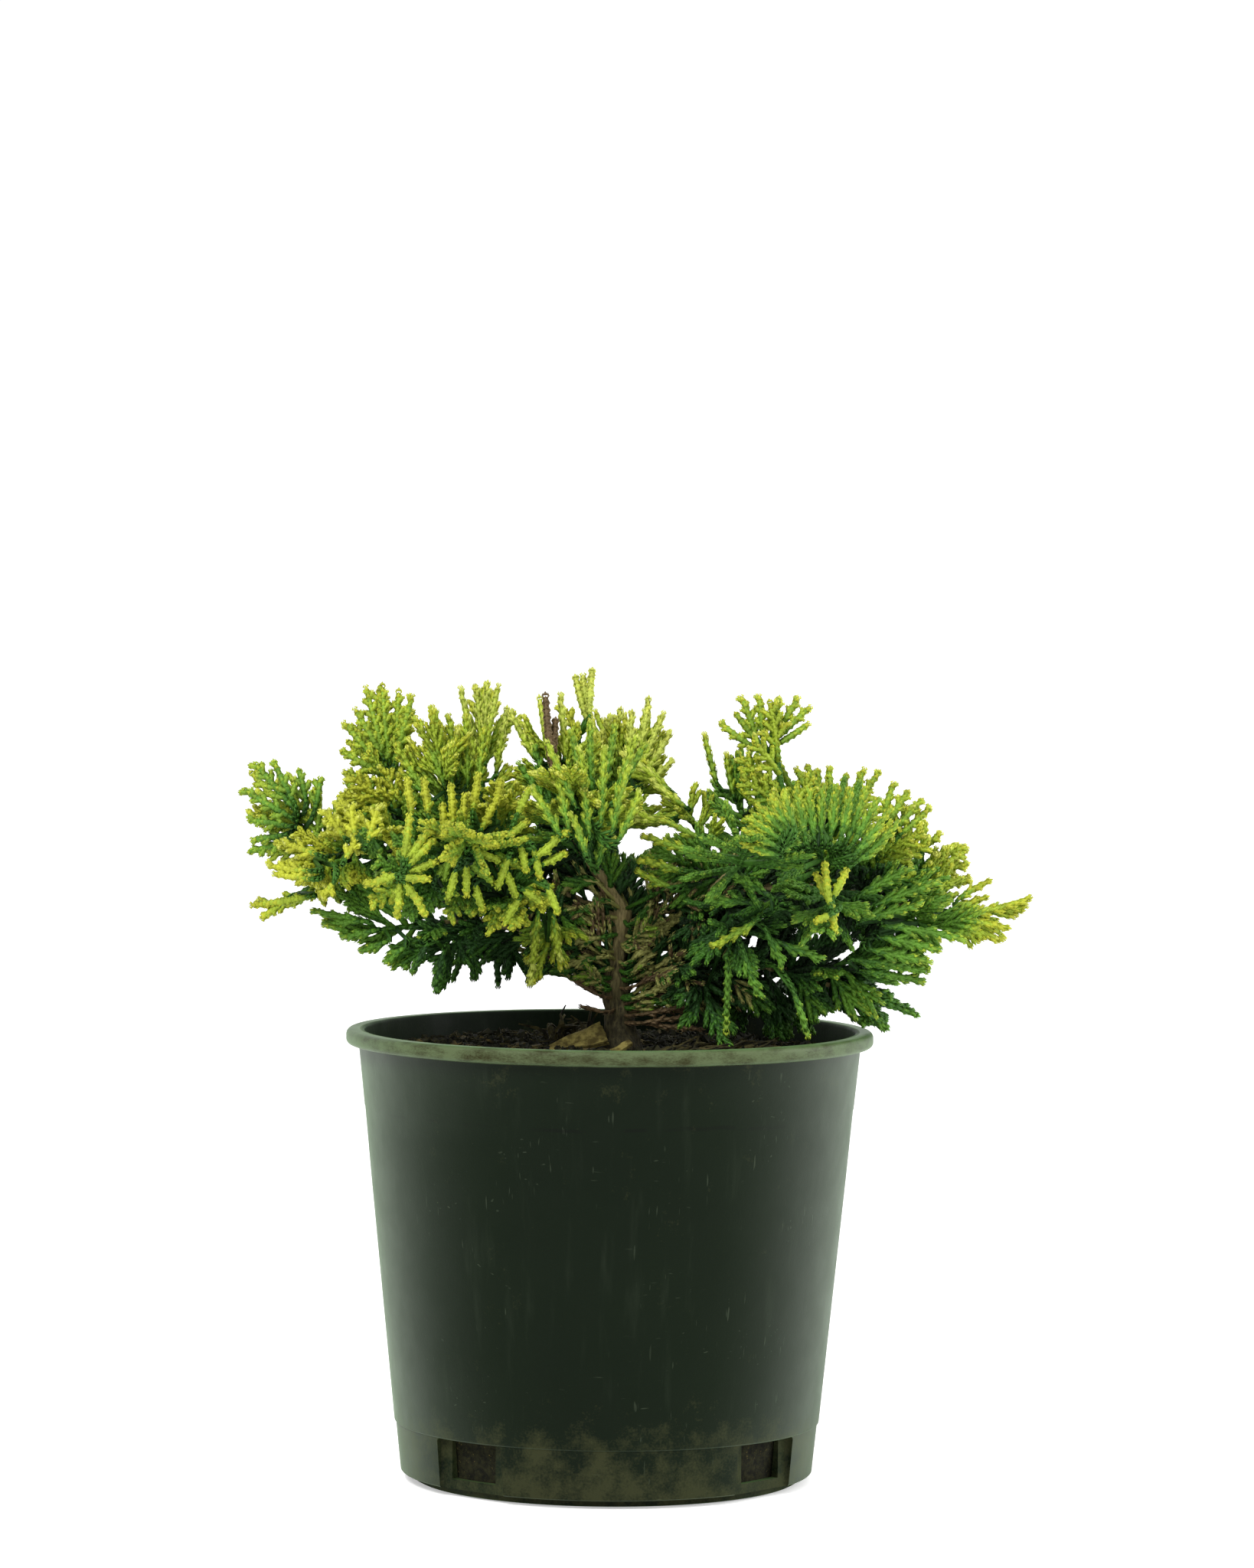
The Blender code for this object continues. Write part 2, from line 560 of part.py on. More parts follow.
def twig_balls(twig):
    """Balls along a twig, but none at its foot, which is inside the stem."""
    count = max(1, math.ceil((twig.end - twig.start).length / BALL_SPACING))
    return [(twig.start.lerp(twig.end, n / count), TWIG_RADIUS) for n in range(1, count + 1)]


class Space:
    """What already stands in the crown, as balls that know which piece they belong to."""

    def __init__(self):
        self.centres = np.empty((0, 3))
        self.radii = np.empty(0)
        self.owners = np.empty(0, dtype=int)

    def take(self, owner, balls):
        """Adds a piece's balls."""
        self.centres = np.vstack([self.centres, [tuple(centre) for centre, _ in balls]])
        self.radii = np.append(self.radii, [radius for _, radius in balls])
        self.owners = np.append(self.owners, [owner] * len(balls))

    def free(self, owner, balls):
        """Whether balls stay the gap clear of every other piece, the pot, the mix and the open sky, and past the
        root also stay out of the mass's own sprays."""
        own = self.owners == owner
        for number, (centre, radius) in enumerate(balls):
            apart = np.linalg.norm(self.centres - np.array(centre), axis=1) - self.radii
            if apart[~own].min() < radius + GAP or not over_pot(centre, radius) or before_sky(centre):
                return False
            if number > ROOT_SHARE * len(balls) and apart[own].min() < OWN_CLEARANCE * radius:
                return False
        return True


def over_pot(centre, radius):
    """Whether a ball is clear of the pot and the potting mix."""
    out = math.hypot(centre.x, centre.y)
    if centre.z - radius > POT_HEIGHT + GAP or out - radius > RIM_RADIUS + GAP:
        return True
    mouth = wall_radius(POT_HEIGHT - RIM_HEIGHT) - WALL
    return out + radius + GAP < mouth and centre.z - radius > SOIL_TOP + SOIL_LUMP


def before_sky(centre):
    """Whether a point hides sky that the photograph shows through the crown."""
    eye = Vector(EYE)
    seen = eye.lerp(centre, eye.y / (eye.y - centre.y))
    return any(((seen.x - x) / wide) ** 2 + ((seen.z - z) / high) ** 2 < 1 for x, z, wide, high in SKY)


def twig_ways(fan, number, count):
    """Where a twig leaves the stem, and two ways it might run with its spray's side and its room. The draws are
    seeded by the mass and the twig's place on the stem."""
    share = FIRST_TWIG + (1 - FIRST_TWIG) * (number + 0.5) / count
    draw = random.Random(f"{fan.mass.name} {share:.3f}")
    start, ahead, _ = fan.line.at(share)
    hand = 1 if number % 2 else -1
    ways = []
    for _ in range(2):
        angle = math.radians(FOOT_ANGLE - ANGLE_DROP * share + draw.uniform(-ANGLE_DRAW, ANGLE_DRAW))
        tilt = math.radians(draw.uniform(-TILT_DRAW, TILT_DRAW))
        across = (hand * math.cos(tilt) * fan.side + math.sin(tilt) * fan.face).normalized()
        way = (math.cos(angle) * ahead + math.sin(angle) * across).normalized()
        twist = Matrix.Rotation(math.radians(draw.uniform(-TWIST_DRAW, TWIST_DRAW)), 3, way)
        ways.append((way, twist @ across, fan.room_along(start, way)))
        hand = -hand
    return start, ways


def grow_twig(fan, owner, number, count, space):
    """A twig with a spray at its end, cut back where it isn't free, or nothing where it never is."""
    start, ways = twig_ways(fan, number, count)
    for way, side, room in ways:
        for length in [room * share for share in CUT_BACKS if room * share > SHORTEST_SPRAY]:
            spray_length = min(SPRAY_LENGTH, length)
            root = start + way * (length - spray_length)
            leaf = Spray(root, way, side, spray_length, fan.turn)
            twig = Twig(start, root + way * SPRAY_HUB * spray_length)
            balls = twig_balls(twig) + spray_balls(leaf)
            if space.free(owner, balls):
                space.take(owner, balls)
                return [twig] if length > BARE_TWIG * spray_length else [], [leaf]
    return [], []


def grow(fans, lines):
    """The twigs and sprays of every mass. The masses take turns, so that each gets a share of a crowded place."""
    space = Space()
    for line in lines:
        space.take(-1, line_balls(line))
    grown = []
    for owner, fan in enumerate(fans):
        last = fan.last_spray()
        space.take(owner, line_balls(fan.line) + spray_balls(last))
        grown.append(([], [last]))
    counts = [max(FEWEST_TWIGS, round(fan.reach / TWIG_SPACING)) for fan in fans]
    for number in range(max(counts)):
        for owner, fan in enumerate(fans):
            place = counts[owner] - 1 - number
            if place >= 0:
                twigs, sprays = grow_twig(fan, owner, place, counts[owner], space)
                grown[owner][0].extend(twigs)
                grown[owner][1].extend(sprays)
    return grown


def rod(twig, collection):
    """A straight three-sided twig."""
    axis = twig.end - twig.start
    shape = bmesh.new()
    thin = TWIG_TAPER * TWIG_RADIUS
    bmesh.ops.create_cone(shape, cap_ends=True, segments=3, radius1=TWIG_RADIUS, radius2=thin, depth=axis.length)
    turn = axis.to_track_quat("Z", "Y").to_matrix().to_4x4()
    place = Matrix.Translation(twig.start.lerp(twig.end, 0.5)) @ turn
    bmesh.ops.transform(shape, matrix=place, verts=shape.verts)
    return mesh_object("twig", shape, collection)


def blade(spray, collection):
    """A spray of scale leaves: a flat double pyramid whose rim is drawn out to the spray's outline."""
    shape = bmesh.new()
    bmesh.ops.create_uvsphere(shape, u_segments=2 * FINGERS, v_segments=2, radius=1.0)
    outline = spray_outline(spray)
    hub = spray.root + spray.way * SPRAY_HUB * spray.length
    face = spray.way.cross(spray.side).normalized()
    for vertex in shape.verts:
        if abs(vertex.co.z) > 0.5:
            vertex.co = hub + face * vertex.co.z * SPRAY_THICKNESS / 2
        else:
            corner = round(math.atan2(vertex.co.y, vertex.co.x) * FINGERS / math.pi)
            vertex.co = outline[corner % (2 * FINGERS)]
    bmesh.ops.recalc_face_normals(shape, faces=shape.faces)
    return mesh_object("spray", shape, collection)


def build_mass(fan, twigs, sprays, collection):
    """Stem, twigs and sprays of one mass fused into one solid."""
    stem = as_mesh(tube(fan.line, 4, collection), collection)
    parts = new_collection(f"parts of {fan.mass.name}")
    for twig in twigs:
        rod(twig, parts)
    for spray in sprays:
        blade(spray, parts)
    union = stem.modifiers.new("union", "BOOLEAN")
    union.operation = "UNION"
    union.operand_type = "COLLECTION"
    union.collection = parts
    union.solver = "EXACT"
    graph = bpy.context.evaluated_depsgraph_get()
    mesh = bpy.data.meshes.new_from_object(stem.evaluated_get(graph))
    stem.modifiers.clear()
    stem.data = mesh
    for obj in list(parts.objects):
        bpy.data.objects.remove(obj)
    bpy.data.collections.remove(parts)
    mesh.materials.clear()
    mesh.materials.append(material(fan.mass.tone))


def build():
    """The whole potted plant."""
    clear_scene()
    plant = new_collection("potted conifer")
    build_pot(plant)
    build_soil(plant)
    build_chip(plant)
    lines = limb_lines()
    for name, line in lines.items():
        limb = as_mesh(tube(line, 8 if name == "trunk" else 6, plant), plant)
        limb.data.materials.append(material("bark"))
    fans = [Fan(mass, lines) for mass in MASSES]
    for fan, (twigs, sprays) in zip(fans, grow(fans, lines.values())):
        build_mass(fan, twigs, sprays, plant)


build()
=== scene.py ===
# %% [markdown]
# # A dwarf conifer in a nursery pot
# The plant is a low, spreading conifer with scale leaves, golden at its tips and dark green inside, in a
# round three-litre pot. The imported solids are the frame: they give the place and reach of every limb and
# every mass of foliage. This script dresses them, one piece after another, and each piece takes its place
# from the same numbers.

# %% The frame
import json
import math
import random
from collections import namedtuple

import bpy
import numpy as np
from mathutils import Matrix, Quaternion, Vector, noise

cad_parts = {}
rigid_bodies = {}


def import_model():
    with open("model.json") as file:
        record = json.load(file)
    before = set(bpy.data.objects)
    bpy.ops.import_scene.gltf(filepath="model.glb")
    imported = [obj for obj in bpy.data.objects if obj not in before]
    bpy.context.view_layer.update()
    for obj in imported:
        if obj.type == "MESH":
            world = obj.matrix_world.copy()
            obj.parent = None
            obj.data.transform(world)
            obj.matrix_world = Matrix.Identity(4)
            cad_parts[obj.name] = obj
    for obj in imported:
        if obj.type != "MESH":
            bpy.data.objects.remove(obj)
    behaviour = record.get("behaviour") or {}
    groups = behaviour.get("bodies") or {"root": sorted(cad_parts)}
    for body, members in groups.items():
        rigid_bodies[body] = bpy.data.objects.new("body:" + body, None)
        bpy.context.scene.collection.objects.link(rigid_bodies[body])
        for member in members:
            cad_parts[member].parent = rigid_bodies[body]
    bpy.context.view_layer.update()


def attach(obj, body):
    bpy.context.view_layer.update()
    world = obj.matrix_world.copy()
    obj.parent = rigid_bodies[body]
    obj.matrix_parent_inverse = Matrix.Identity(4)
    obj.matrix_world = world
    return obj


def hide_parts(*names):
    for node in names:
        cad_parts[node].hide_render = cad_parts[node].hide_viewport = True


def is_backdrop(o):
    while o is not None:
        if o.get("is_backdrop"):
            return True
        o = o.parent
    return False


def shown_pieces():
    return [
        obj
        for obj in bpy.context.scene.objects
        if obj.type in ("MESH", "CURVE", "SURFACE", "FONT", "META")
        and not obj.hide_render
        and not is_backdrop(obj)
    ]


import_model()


# %% [markdown]
# ## Where the picture is taken from
# A long lens, about two metres in front of the plant and a little above the rim, looks slightly down. The
# object leans by less than a degree in the picture, so the camera is rolled by that much.

# %% Camera
EYE = Vector((0.0054, -2.15, 0.3405))
AIM = Vector((0.0054, 0.0, 0.2506))
ROLL = math.radians(0.5)
LENS = 137.2
SENSOR_WIDTH = 36.0
bpy.ops.object.camera_add(location=EYE)
camera = bpy.context.object
camera.data.sensor_width = SENSOR_WIDTH
camera.data.lens = LENS
camera.rotation_mode = "QUATERNION"
camera.rotation_quaternion = (AIM - EYE).to_track_quat("-Z", "Y") @ Quaternion((0, 0, 1), ROLL)
bpy.context.scene.camera = camera
print("camera at", tuple(round(x, 3) for x in camera.location), "lens", camera.data.lens)

# %% [markdown]
# ## Node helpers
# Every finish below is a node tree on one Principled shader. These helpers add a node, set its sockets and
# link it, so that each material reads as a short list. A socket takes a number, a colour or another node's
# output.

# %% Nodes
def linear(*shown):
    """A colour from 0 to 255, as a screen shows it, as the plain light values that a shader takes."""
    return tuple((x / 255 / 12.92) if x < 10.3 else ((x / 255 + 0.055) / 1.055) ** 2.4 for x in shown)


def feed(tree, node, **sockets):
    """Sets or links inputs of a node, each by its name, or by its number after an i."""
    for name, value in sockets.items():
        numbered = name[0] == "i" and name[1:].isdigit()
        socket = node.inputs[int(name[1:]) if numbered else name.replace("_", " ")]
        if isinstance(value, bpy.types.NodeSocket):
            tree.links.new(value, socket)
        elif socket.type == "RGBA":
            socket.default_value = (*value, 1.0)
        else:
            socket.default_value = value


def add_node(tree, kind, out=0, **sockets):
    """Adds a node, feeds its sockets and returns one output. Names with a leading a_ are attributes."""
    node = tree.nodes.new(kind)
    for name in [name for name in sockets if name.startswith("a_")]:
        setattr(node, name[2:], sockets.pop(name))
    feed(tree, node, **sockets)
    return node.outputs[out]


def colour_mix(tree, share, first, second):
    """Mixes two colours by a share."""
    return add_node(tree, "ShaderNodeMix", out=2, a_data_type="RGBA", i0=share, i6=first, i7=second)


def calculate(tree, operation, first, second=0.0, clamp=False):
    """One sum on two values."""
    return add_node(tree, "ShaderNodeMath", a_operation=operation, a_use_clamp=clamp, i0=first, i1=second)


def times(tree, first, second):
    """One value times another."""
    return calculate(tree, "MULTIPLY", first, second)


def plus(tree, first, second):
    """One value plus another."""
    return calculate(tree, "ADD", first, second)


def spread_to(tree, value, low, high, new_low=0.0, new_high=1.0):
    """Stretches a value from one range to another, smoothly and clamped."""
    ends = {"i1": low, "i2": high, "i3": new_low, "i4": new_high}
    return add_node(tree, "ShaderNodeMapRange", a_interpolation_type="SMOOTHSTEP", i0=value, **ends)


def place_on(tree, scale=(1.0, 1.0, 1.0)):
    """The piece's own coordinates in metres, stretched."""
    point = add_node(tree, "ShaderNodeTexCoord", out=3)
    return add_node(tree, "ShaderNodeMapping", Vector=point, Scale=scale)


def height_at(tree, place):
    """How high a place is, in metres."""
    return add_node(tree, "ShaderNodeSeparateXYZ", out=2, Vector=place)


def speckle(tree, vector, size, detail=3.0, roughness=0.55):
    """Noise whose blots are about that size in metres."""
    look = {"Scale": 1.0 / size, "Detail": detail, "Roughness": roughness}
    return add_node(tree, "ShaderNodeTexNoise", Vector=vector, **look)


def new_finish(name):
    """An empty finish: its material, its node tree and its shader."""
    finish = bpy.data.materials.new(name)
    finish.use_nodes = True
    return finish, finish.node_tree, finish.node_tree.nodes["Principled BSDF"]


print("node helpers ready")

# %% [markdown]
# ## Studio
# A plain pale floor and a pale surround give the soft light that comes from all sides. Both are brighter
# where the camera looks straight at them, so that the backdrop is white and the light on the plant still
# has contrast. One large soft lamp high on the left models the crown, and a weaker one on the right keeps
# its shadows open.

# %% Floor, surround and lamps
def soft_lamp(name, place, size, power):
    """A square soft lamp that points at the middle of the plant."""
    bpy.ops.object.light_add(type="AREA", location=place)
    lamp = bpy.context.object
    lamp.name = name
    lamp.data.size = size
    lamp.data.energy = power
    lamp.rotation_mode = "QUATERNION"
    lamp.rotation_quaternion = (Vector((0, 0, 0.2)) - Vector(place)).to_track_quat("-Z", "Y")


bpy.ops.mesh.primitive_plane_add(size=60.0, location=(0, 0, -0.0004))
floor = bpy.context.object
floor.name = "floor"
floor_paper, tree, shader = new_finish("floor_paper")
glow = times(tree, add_node(tree, "ShaderNodeLightPath", out="Is Camera Ray"), 0.42)
feed(tree, shader, Base_Color=(0.92, 0.92, 0.91), Roughness=0.9)
feed(tree, shader, Emission_Color=(1.0, 1.0, 1.0), Emission_Strength=glow)
floor.data.materials.append(floor_paper)
floor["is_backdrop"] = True

world = bpy.data.worlds.new("surround")
bpy.context.scene.world = world
world.use_nodes = True
tree = world.node_tree
seen_directly = add_node(tree, "ShaderNodeLightPath", out="Is Camera Ray")
brightness = add_node(tree, "ShaderNodeMapRange", Value=seen_directly, To_Min=0.86, To_Max=1.05)
feed(tree, tree.nodes["Background"], Color=(0.99, 1.0, 1.0), Strength=brightness)
soft_lamp("key_lamp", (-0.8, -1.3, 1.6), 0.8, 32)
soft_lamp("side_lamp", (1.2, -0.1, 0.55), 0.9, 11)
bpy.context.scene.view_settings.view_transform = "Standard"

# %% [markdown]
# ## Grime
# The wall of the pot and its rim carry the same dry grime: blots of soil dust, broken up by a finer noise.
# It is one node group with a size and an amount, so the finish places it twice, each time with its own
# values.

# %% The grime group
grime = bpy.data.node_groups.new("grime", "ShaderNodeTree")
grime.interface.new_socket("Vector", in_out="INPUT", socket_type="NodeSocketVector")
grime.interface.new_socket("Size", in_out="INPUT", socket_type="NodeSocketFloat").default_value = 0.02
grime.interface.new_socket("Amount", in_out="INPUT", socket_type="NodeSocketFloat").default_value = 0.5
grime.interface.new_socket("Mask", in_out="OUTPUT", socket_type="NodeSocketFloat")
inside = grime.nodes.new("NodeGroupInput").outputs
outside = grime.nodes.new("NodeGroupOutput")
blot_scale = calculate(grime, "DIVIDE", 1.0, inside["Size"])
on_piece = {"Vector": inside["Vector"]}
blots = add_node(grime, "ShaderNodeTexNoise", Scale=blot_scale, Detail=5.0, Roughness=0.62, **on_piece)
grain = add_node(grime, "ShaderNodeTexNoise", Scale=times(grime, blot_scale, 14.0), Detail=2.0, **on_piece)
broken = plus(grime, times(grime, blots, 0.75), times(grime, grain, 0.25))
threshold = calculate(grime, "SUBTRACT", 0.72, times(grime, inside["Amount"], 0.40))
above = calculate(grime, "SUBTRACT", broken, threshold)
feed(grime, outside, Mask=calculate(grime, "MULTIPLY", above, 5.0, clamp=True))


def grimy(tree, vector, size, amount):
    """The grime group's mask, placed in a finish."""
    return add_node(tree, "ShaderNodeGroup", a_node_tree=grime, Vector=vector, Size=size, Amount=amount)


print("grime group sockets:", [item.name for item in grime.interface.items_tree])

# %% [markdown]
# ## Modelling helpers
# The pot and the potting mix are turned shapes. As by hand, each starts as one circle, which is extruded
# and resized from ring to ring, so the list of rings is the section of the piece.

# %% Turned shapes
def start_clean():
    """Deselects everything, so that an operator acts on the new piece alone."""
    if bpy.context.object and bpy.context.object.mode != "OBJECT":
        bpy.ops.object.mode_set(mode="OBJECT")
    bpy.ops.object.select_all(action="DESELECT")


def select_piece(piece):
    """Makes the piece the only one selected, and active."""
    start_clean()
    piece.select_set(True)
    bpy.context.view_layer.objects.active = piece


def named(name):
    """The active object, which takes the name, as its mesh does."""
    piece = bpy.context.object
    piece.name = name
    piece.data.name = name
    return piece


def settle():
    """Applies the place, turn and scale of what is selected, so that its object sits at the origin."""
    bpy.ops.object.transform_apply(location=True, rotation=True, scale=True)


def edit_all():
    """Opens edit mode with all of the piece selected."""
    bpy.ops.object.mode_set(mode="EDIT")
    bpy.ops.mesh.select_all(action="SELECT")


def close_up(distance):
    """Merges points that are nearly in one place, turns the faces outwards and leaves edit mode."""
    bpy.ops.mesh.select_all(action="SELECT")
    bpy.ops.mesh.remove_doubles(threshold=distance)
    bpy.ops.mesh.normals_make_consistent(inside=False)
    bpy.ops.object.mode_set(mode="OBJECT")


def smooth_below(degrees):
    """Smooth shading, apart from edges sharper than that."""
    bpy.ops.object.shade_smooth_by_angle(angle=math.radians(degrees))


def turned(name, rings, steps):
    """A closed shape turned about Z, from a list of (radius, height)."""
    start_clean()
    radius, height = rings[0]
    place = (0, 0, height)
    bpy.ops.mesh.primitive_circle_add(vertices=steps, radius=radius, fill_type="TRIFAN", location=place)
    piece = named(name)
    settle()
    edit_all()
    for next_radius, next_height in rings[1:]:
        bpy.ops.mesh.extrude_region_move(TRANSFORM_OT_translate={"value": (0, 0, next_height - height)})
        grow = next_radius / radius
        bpy.ops.transform.resize(value=(grow, grow, 1.0), center_override=(0, 0, next_height))
        radius, height = next_radius, next_height
    close_up(0.00001)
    return piece


def apply_modifier(piece, kind, **settings):
    """Adds a modifier, sets it and applies it."""
    select_piece(piece)
    modifier = piece.modifiers.new(kind.lower(), kind)
    for name, value in settings.items():
        setattr(modifier, name, value)
    bpy.ops.object.modifier_apply(modifier=modifier.name)


def finished(piece, finish, nodes=()):
    """Gives a piece its finish, its place in the frame and the nodes that it stands for."""
    piece.data.materials.clear()
    piece.data.materials.append(finish)
    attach(piece, "root")
    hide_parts(*nodes)
    print(f"{piece.name}: {len(piece.data.polygons)} faces")


print("modelling helpers ready")

# %% [markdown]
# ## The pot
# A blow-moulded pot: a tapering wall, a rolled rim, a faint ledge where stacked pots rest, and a foot band
# that is set in by 0.6 mm. The same numbers as in the solids give each ring. The rings are closer together
# where the plastic turns a corner, so that the corner is round and catches the light.

# %% Pot section
POT_HEIGHT = 0.162
RIM_RADIUS = 0.095
RIM_UNDER = 0.1568
WALL = 0.0018
WALL_FOOT = 0.0746
WALL_SLOPE = 0.1009
BAND_TOP = 0.0209
BAND_BOTTOM = 0.0026
BAND_RECESS = 0.0006
BAND_WALL = 0.0058
FOOT_RADIUS = 0.0702
POT_FLOOR = 0.0045
LEDGE = 0.1345


def wall_radius(height):
    """Outside radius of the tapering wall."""
    return WALL_FOOT + WALL_SLOPE * height


def on_wall(height, inset=0.0, lift=0.0):
    """A ring on the wall at that height, set in from its outside and lifted."""
    return wall_radius(height) - inset, height + lift


def corner(radius, height, size, start, end, steps=4):
    """Rings on a rounded corner about a centre, from one bearing in degrees to another."""
    turns = [math.radians(start + (end - start) * n / steps) for n in range(steps + 1)]
    return [(radius + size * math.cos(turn), height + size * math.sin(turn)) for turn in turns]


mouth = wall_radius(RIM_UNDER) - WALL
pot_rings = [
    on_wall(POT_FLOOR, BAND_WALL),
    on_wall(BAND_TOP, BAND_WALL, WALL),
    *[on_wall(height, WALL) for height in (BAND_TOP + 2 * WALL, 0.090, 0.148)],
    on_wall(0.1484, WALL + 0.0005),
    (mouth - 0.0004, RIM_UNDER),
    *corner(mouth + 0.0008, POT_HEIGHT - 0.0010, 0.0010, 180, 90),
    *corner(RIM_RADIUS - 0.0018, POT_HEIGHT - 0.0018, 0.0018, 90, 0, 6),
    *corner(RIM_RADIUS - 0.0016, RIM_UNDER + 0.0016, 0.0016, 0, -90, 6),
    on_wall(RIM_UNDER, -0.0005),
    on_wall(RIM_UNDER, 0.0, -0.0006),
    on_wall(LEDGE),
    on_wall(LEDGE, 0.00018, -0.0005),
    on_wall(0.126, 0.0001),
    *[on_wall(height) for height in (0.110, 0.080, 0.050)],
    on_wall(BAND_TOP, 0.0, 0.0002),
    on_wall(BAND_TOP, 0.0001),
    on_wall(BAND_TOP, BAND_RECESS, -0.0004),
    on_wall(BAND_BOTTOM, BAND_RECESS, 0.0004),
    on_wall(BAND_BOTTOM, BAND_RECESS + 0.0004),
    (FOOT_RADIUS, BAND_BOTTOM - 0.0001),
    (FOOT_RADIUS - 0.0004, 0.0004),
    (FOOT_RADIUS - 0.0012, 0.0),
]
pot = turned("nursery_pot", pot_rings, 128)
print("pot rings:", len(pot_rings), "faces:", len(pot.data.polygons))

# %% [markdown]
# ### Drainage windows
# Four windows open the foot band, each in a flat bay with soft upright edges. A cube is bevelled for each
# bay and each window, set at its bearing, and cut out of the pot with a Boolean modifier.

# %% Windows in the foot band
WINDOW_BEARINGS = (49.5, 139.5, 229.5, 319.5)
Opening = namedtuple("Opening", "near far width low high bevel")
BAY = Opening(0.0716, 0.090, 0.030, -0.001, 0.02045, 0.0012)
WINDOW = Opening(0.0640, 0.090, 0.0205, 0.0060, 0.0199, 0.0004)


def cutting_block(bearing, opening):
    """A block with rounded upright edges, from near the axis outwards, at a bearing from the front."""
    start_clean()
    tall = opening.high - opening.low
    middle = (0, -(opening.near + opening.far) / 2, (opening.low + opening.high) / 2)
    bpy.ops.mesh.primitive_cube_add(size=1.0, location=middle)
    block = bpy.context.object
    block.scale = (opening.width, opening.far - opening.near, tall)
    settle()
    block.rotation_euler.z = math.radians(bearing)
    settle()
    for edge in block.data.edges:
        first, second = (block.data.vertices[n].co for n in edge.vertices)
        edge.select = abs(first.z - second.z) > 0.5 * tall
    bpy.ops.object.mode_set(mode="EDIT")
    bpy.ops.mesh.select_mode(type="EDGE")
    bpy.ops.mesh.bevel(offset=opening.bevel, segments=3)
    bpy.ops.object.mode_set(mode="OBJECT")
    return block


for bearing in WINDOW_BEARINGS:
    for opening in (BAY, WINDOW):
        cutter = cutting_block(bearing, opening)
        apply_modifier(pot, "BOOLEAN", operation="DIFFERENCE", object=cutter, solver="EXACT")
        bpy.data.objects.remove(cutter)
select_piece(pot)
smooth_below(35)
print("faces with windows:", len(pot.data.polygons))

# %% [markdown]
# ### Pot plastic
# The plastic is a dark green-black, dull to look straight at, that picks up the pale surround where the
# wall turns away: a thin coat grows with the Layer Weight's facing, under a faint green sheen. Soil dust
# lies on the rim, under it and along the foot, a dark line at the ledge shows how far stacked pots sank,
# fine scratches run over the wall, and handling has left dull patches.

# %% Pot finish
pot_plastic, tree, shader = new_finish("pot_plastic")
plain = place_on(tree)
height = height_at(tree, plain)
tint = colour_mix(tree, speckle(tree, plain, 0.05), linear(7, 14, 7), linear(13, 22, 11))
upright = place_on(tree, (1.0, 1.0, 0.10))
streaks = spread_to(tree, speckle(tree, upright, 0.006, 4.0), 0.55, 0.85, 0.0, 0.16)
tint = colour_mix(tree, streaks, tint, linear(60, 68, 54))

marked_here = spread_to(tree, speckle(tree, plain, 0.03), 0.50, 0.62)
long_marks = spread_to(tree, speckle(tree, place_on(tree, (1.0, 1.0, 0.07)), 0.0011, 1.0), 0.70, 0.76)
slant = add_node(tree, "ShaderNodeMapping", Vector=plain, Rotation=(0.9, 0.5, 0.0), Scale=(0.10, 1.0, 1.0))
slanted_marks = spread_to(tree, speckle(tree, slant, 0.0012, 1.0), 0.72, 0.77)
scratches = times(tree, calculate(tree, "MAXIMUM", long_marks, slanted_marks), marked_here)
tint = colour_mix(tree, times(tree, scratches, 0.15), tint, linear(100, 110, 90))

wavy_height = plus(tree, height, times(tree, speckle(tree, plain, 0.03), 0.004))
off_ledge = calculate(tree, "ABSOLUTE", calculate(tree, "SUBTRACT", wavy_height, LEDGE + 0.0015))
patches = speckle(tree, plain, 0.012)
ring = times(tree, spread_to(tree, off_ledge, 0.0010, 0.0003), spread_to(tree, patches, 0.44, 0.60))
tint = colour_mix(tree, times(tree, ring, 0.7), tint, linear(8, 11, 8))

near_foot = spread_to(tree, height, 0.040, 0.016, 0.0, 0.60)
near_rim = spread_to(tree, height, 0.128, 0.1565, 0.0, 0.12)
dust = grimy(tree, plain, 0.011, plus(tree, plus(tree, near_foot, near_rim), 0.24))
tint = colour_mix(tree, times(tree, dust, 0.34), tint, linear(78, 78, 50))
flat = add_node(tree, "ShaderNodeVectorMath", a_operation="MULTIPLY", i0=plain, i1=(1.0, 1.0, 0.0))
from_axis = add_node(tree, "ShaderNodeVectorMath", out=1, a_operation="LENGTH", i0=flat)
on_rim = times(tree, spread_to(tree, height, 0.1560, 0.1568), spread_to(tree, from_axis, 0.0892, 0.0898))
rim_dirt = grimy(tree, place_on(tree, (1.0, 1.0, 2.6)), 0.012, 0.72)
tint = colour_mix(tree, on_rim, tint, colour_mix(tree, rim_dirt, linear(80, 91, 62), linear(44, 43, 22)))

rough = plus(tree, spread_to(tree, patches, 0.3, 0.7, 0.44, 0.58), times(tree, dust, 0.18))
pits = times(tree, speckle(tree, plain, 0.0009, 2.0), 0.3)
dents = plus(tree, plus(tree, pits, speckle(tree, plain, 0.012, 2.0)), times(tree, scratches, -0.4))
bump = add_node(tree, "ShaderNodeBump", Strength=0.25, Distance=0.0006, Height=dents)
turned_away = add_node(tree, "ShaderNodeLayerWeight", out=1, Blend=0.5)
mid_wall = plus(tree, times(tree, height, WALL_SLOPE), WALL_FOOT - WALL / 2)
outer_side = calculate(tree, "GREATER_THAN", from_axis, mid_wall)
coat = times(tree, spread_to(tree, turned_away, 0.12, 0.72, 0.0, 0.71), outer_side)
feed(tree, shader, Base_Color=tint, Roughness=rough, Normal=bump, IOR=1.5, Specular_IOR_Level=0.07)
feed(tree, shader, Coat_Weight=coat, Coat_Roughness=0.42, Coat_Tint=(0.86, 1.0, 0.86))
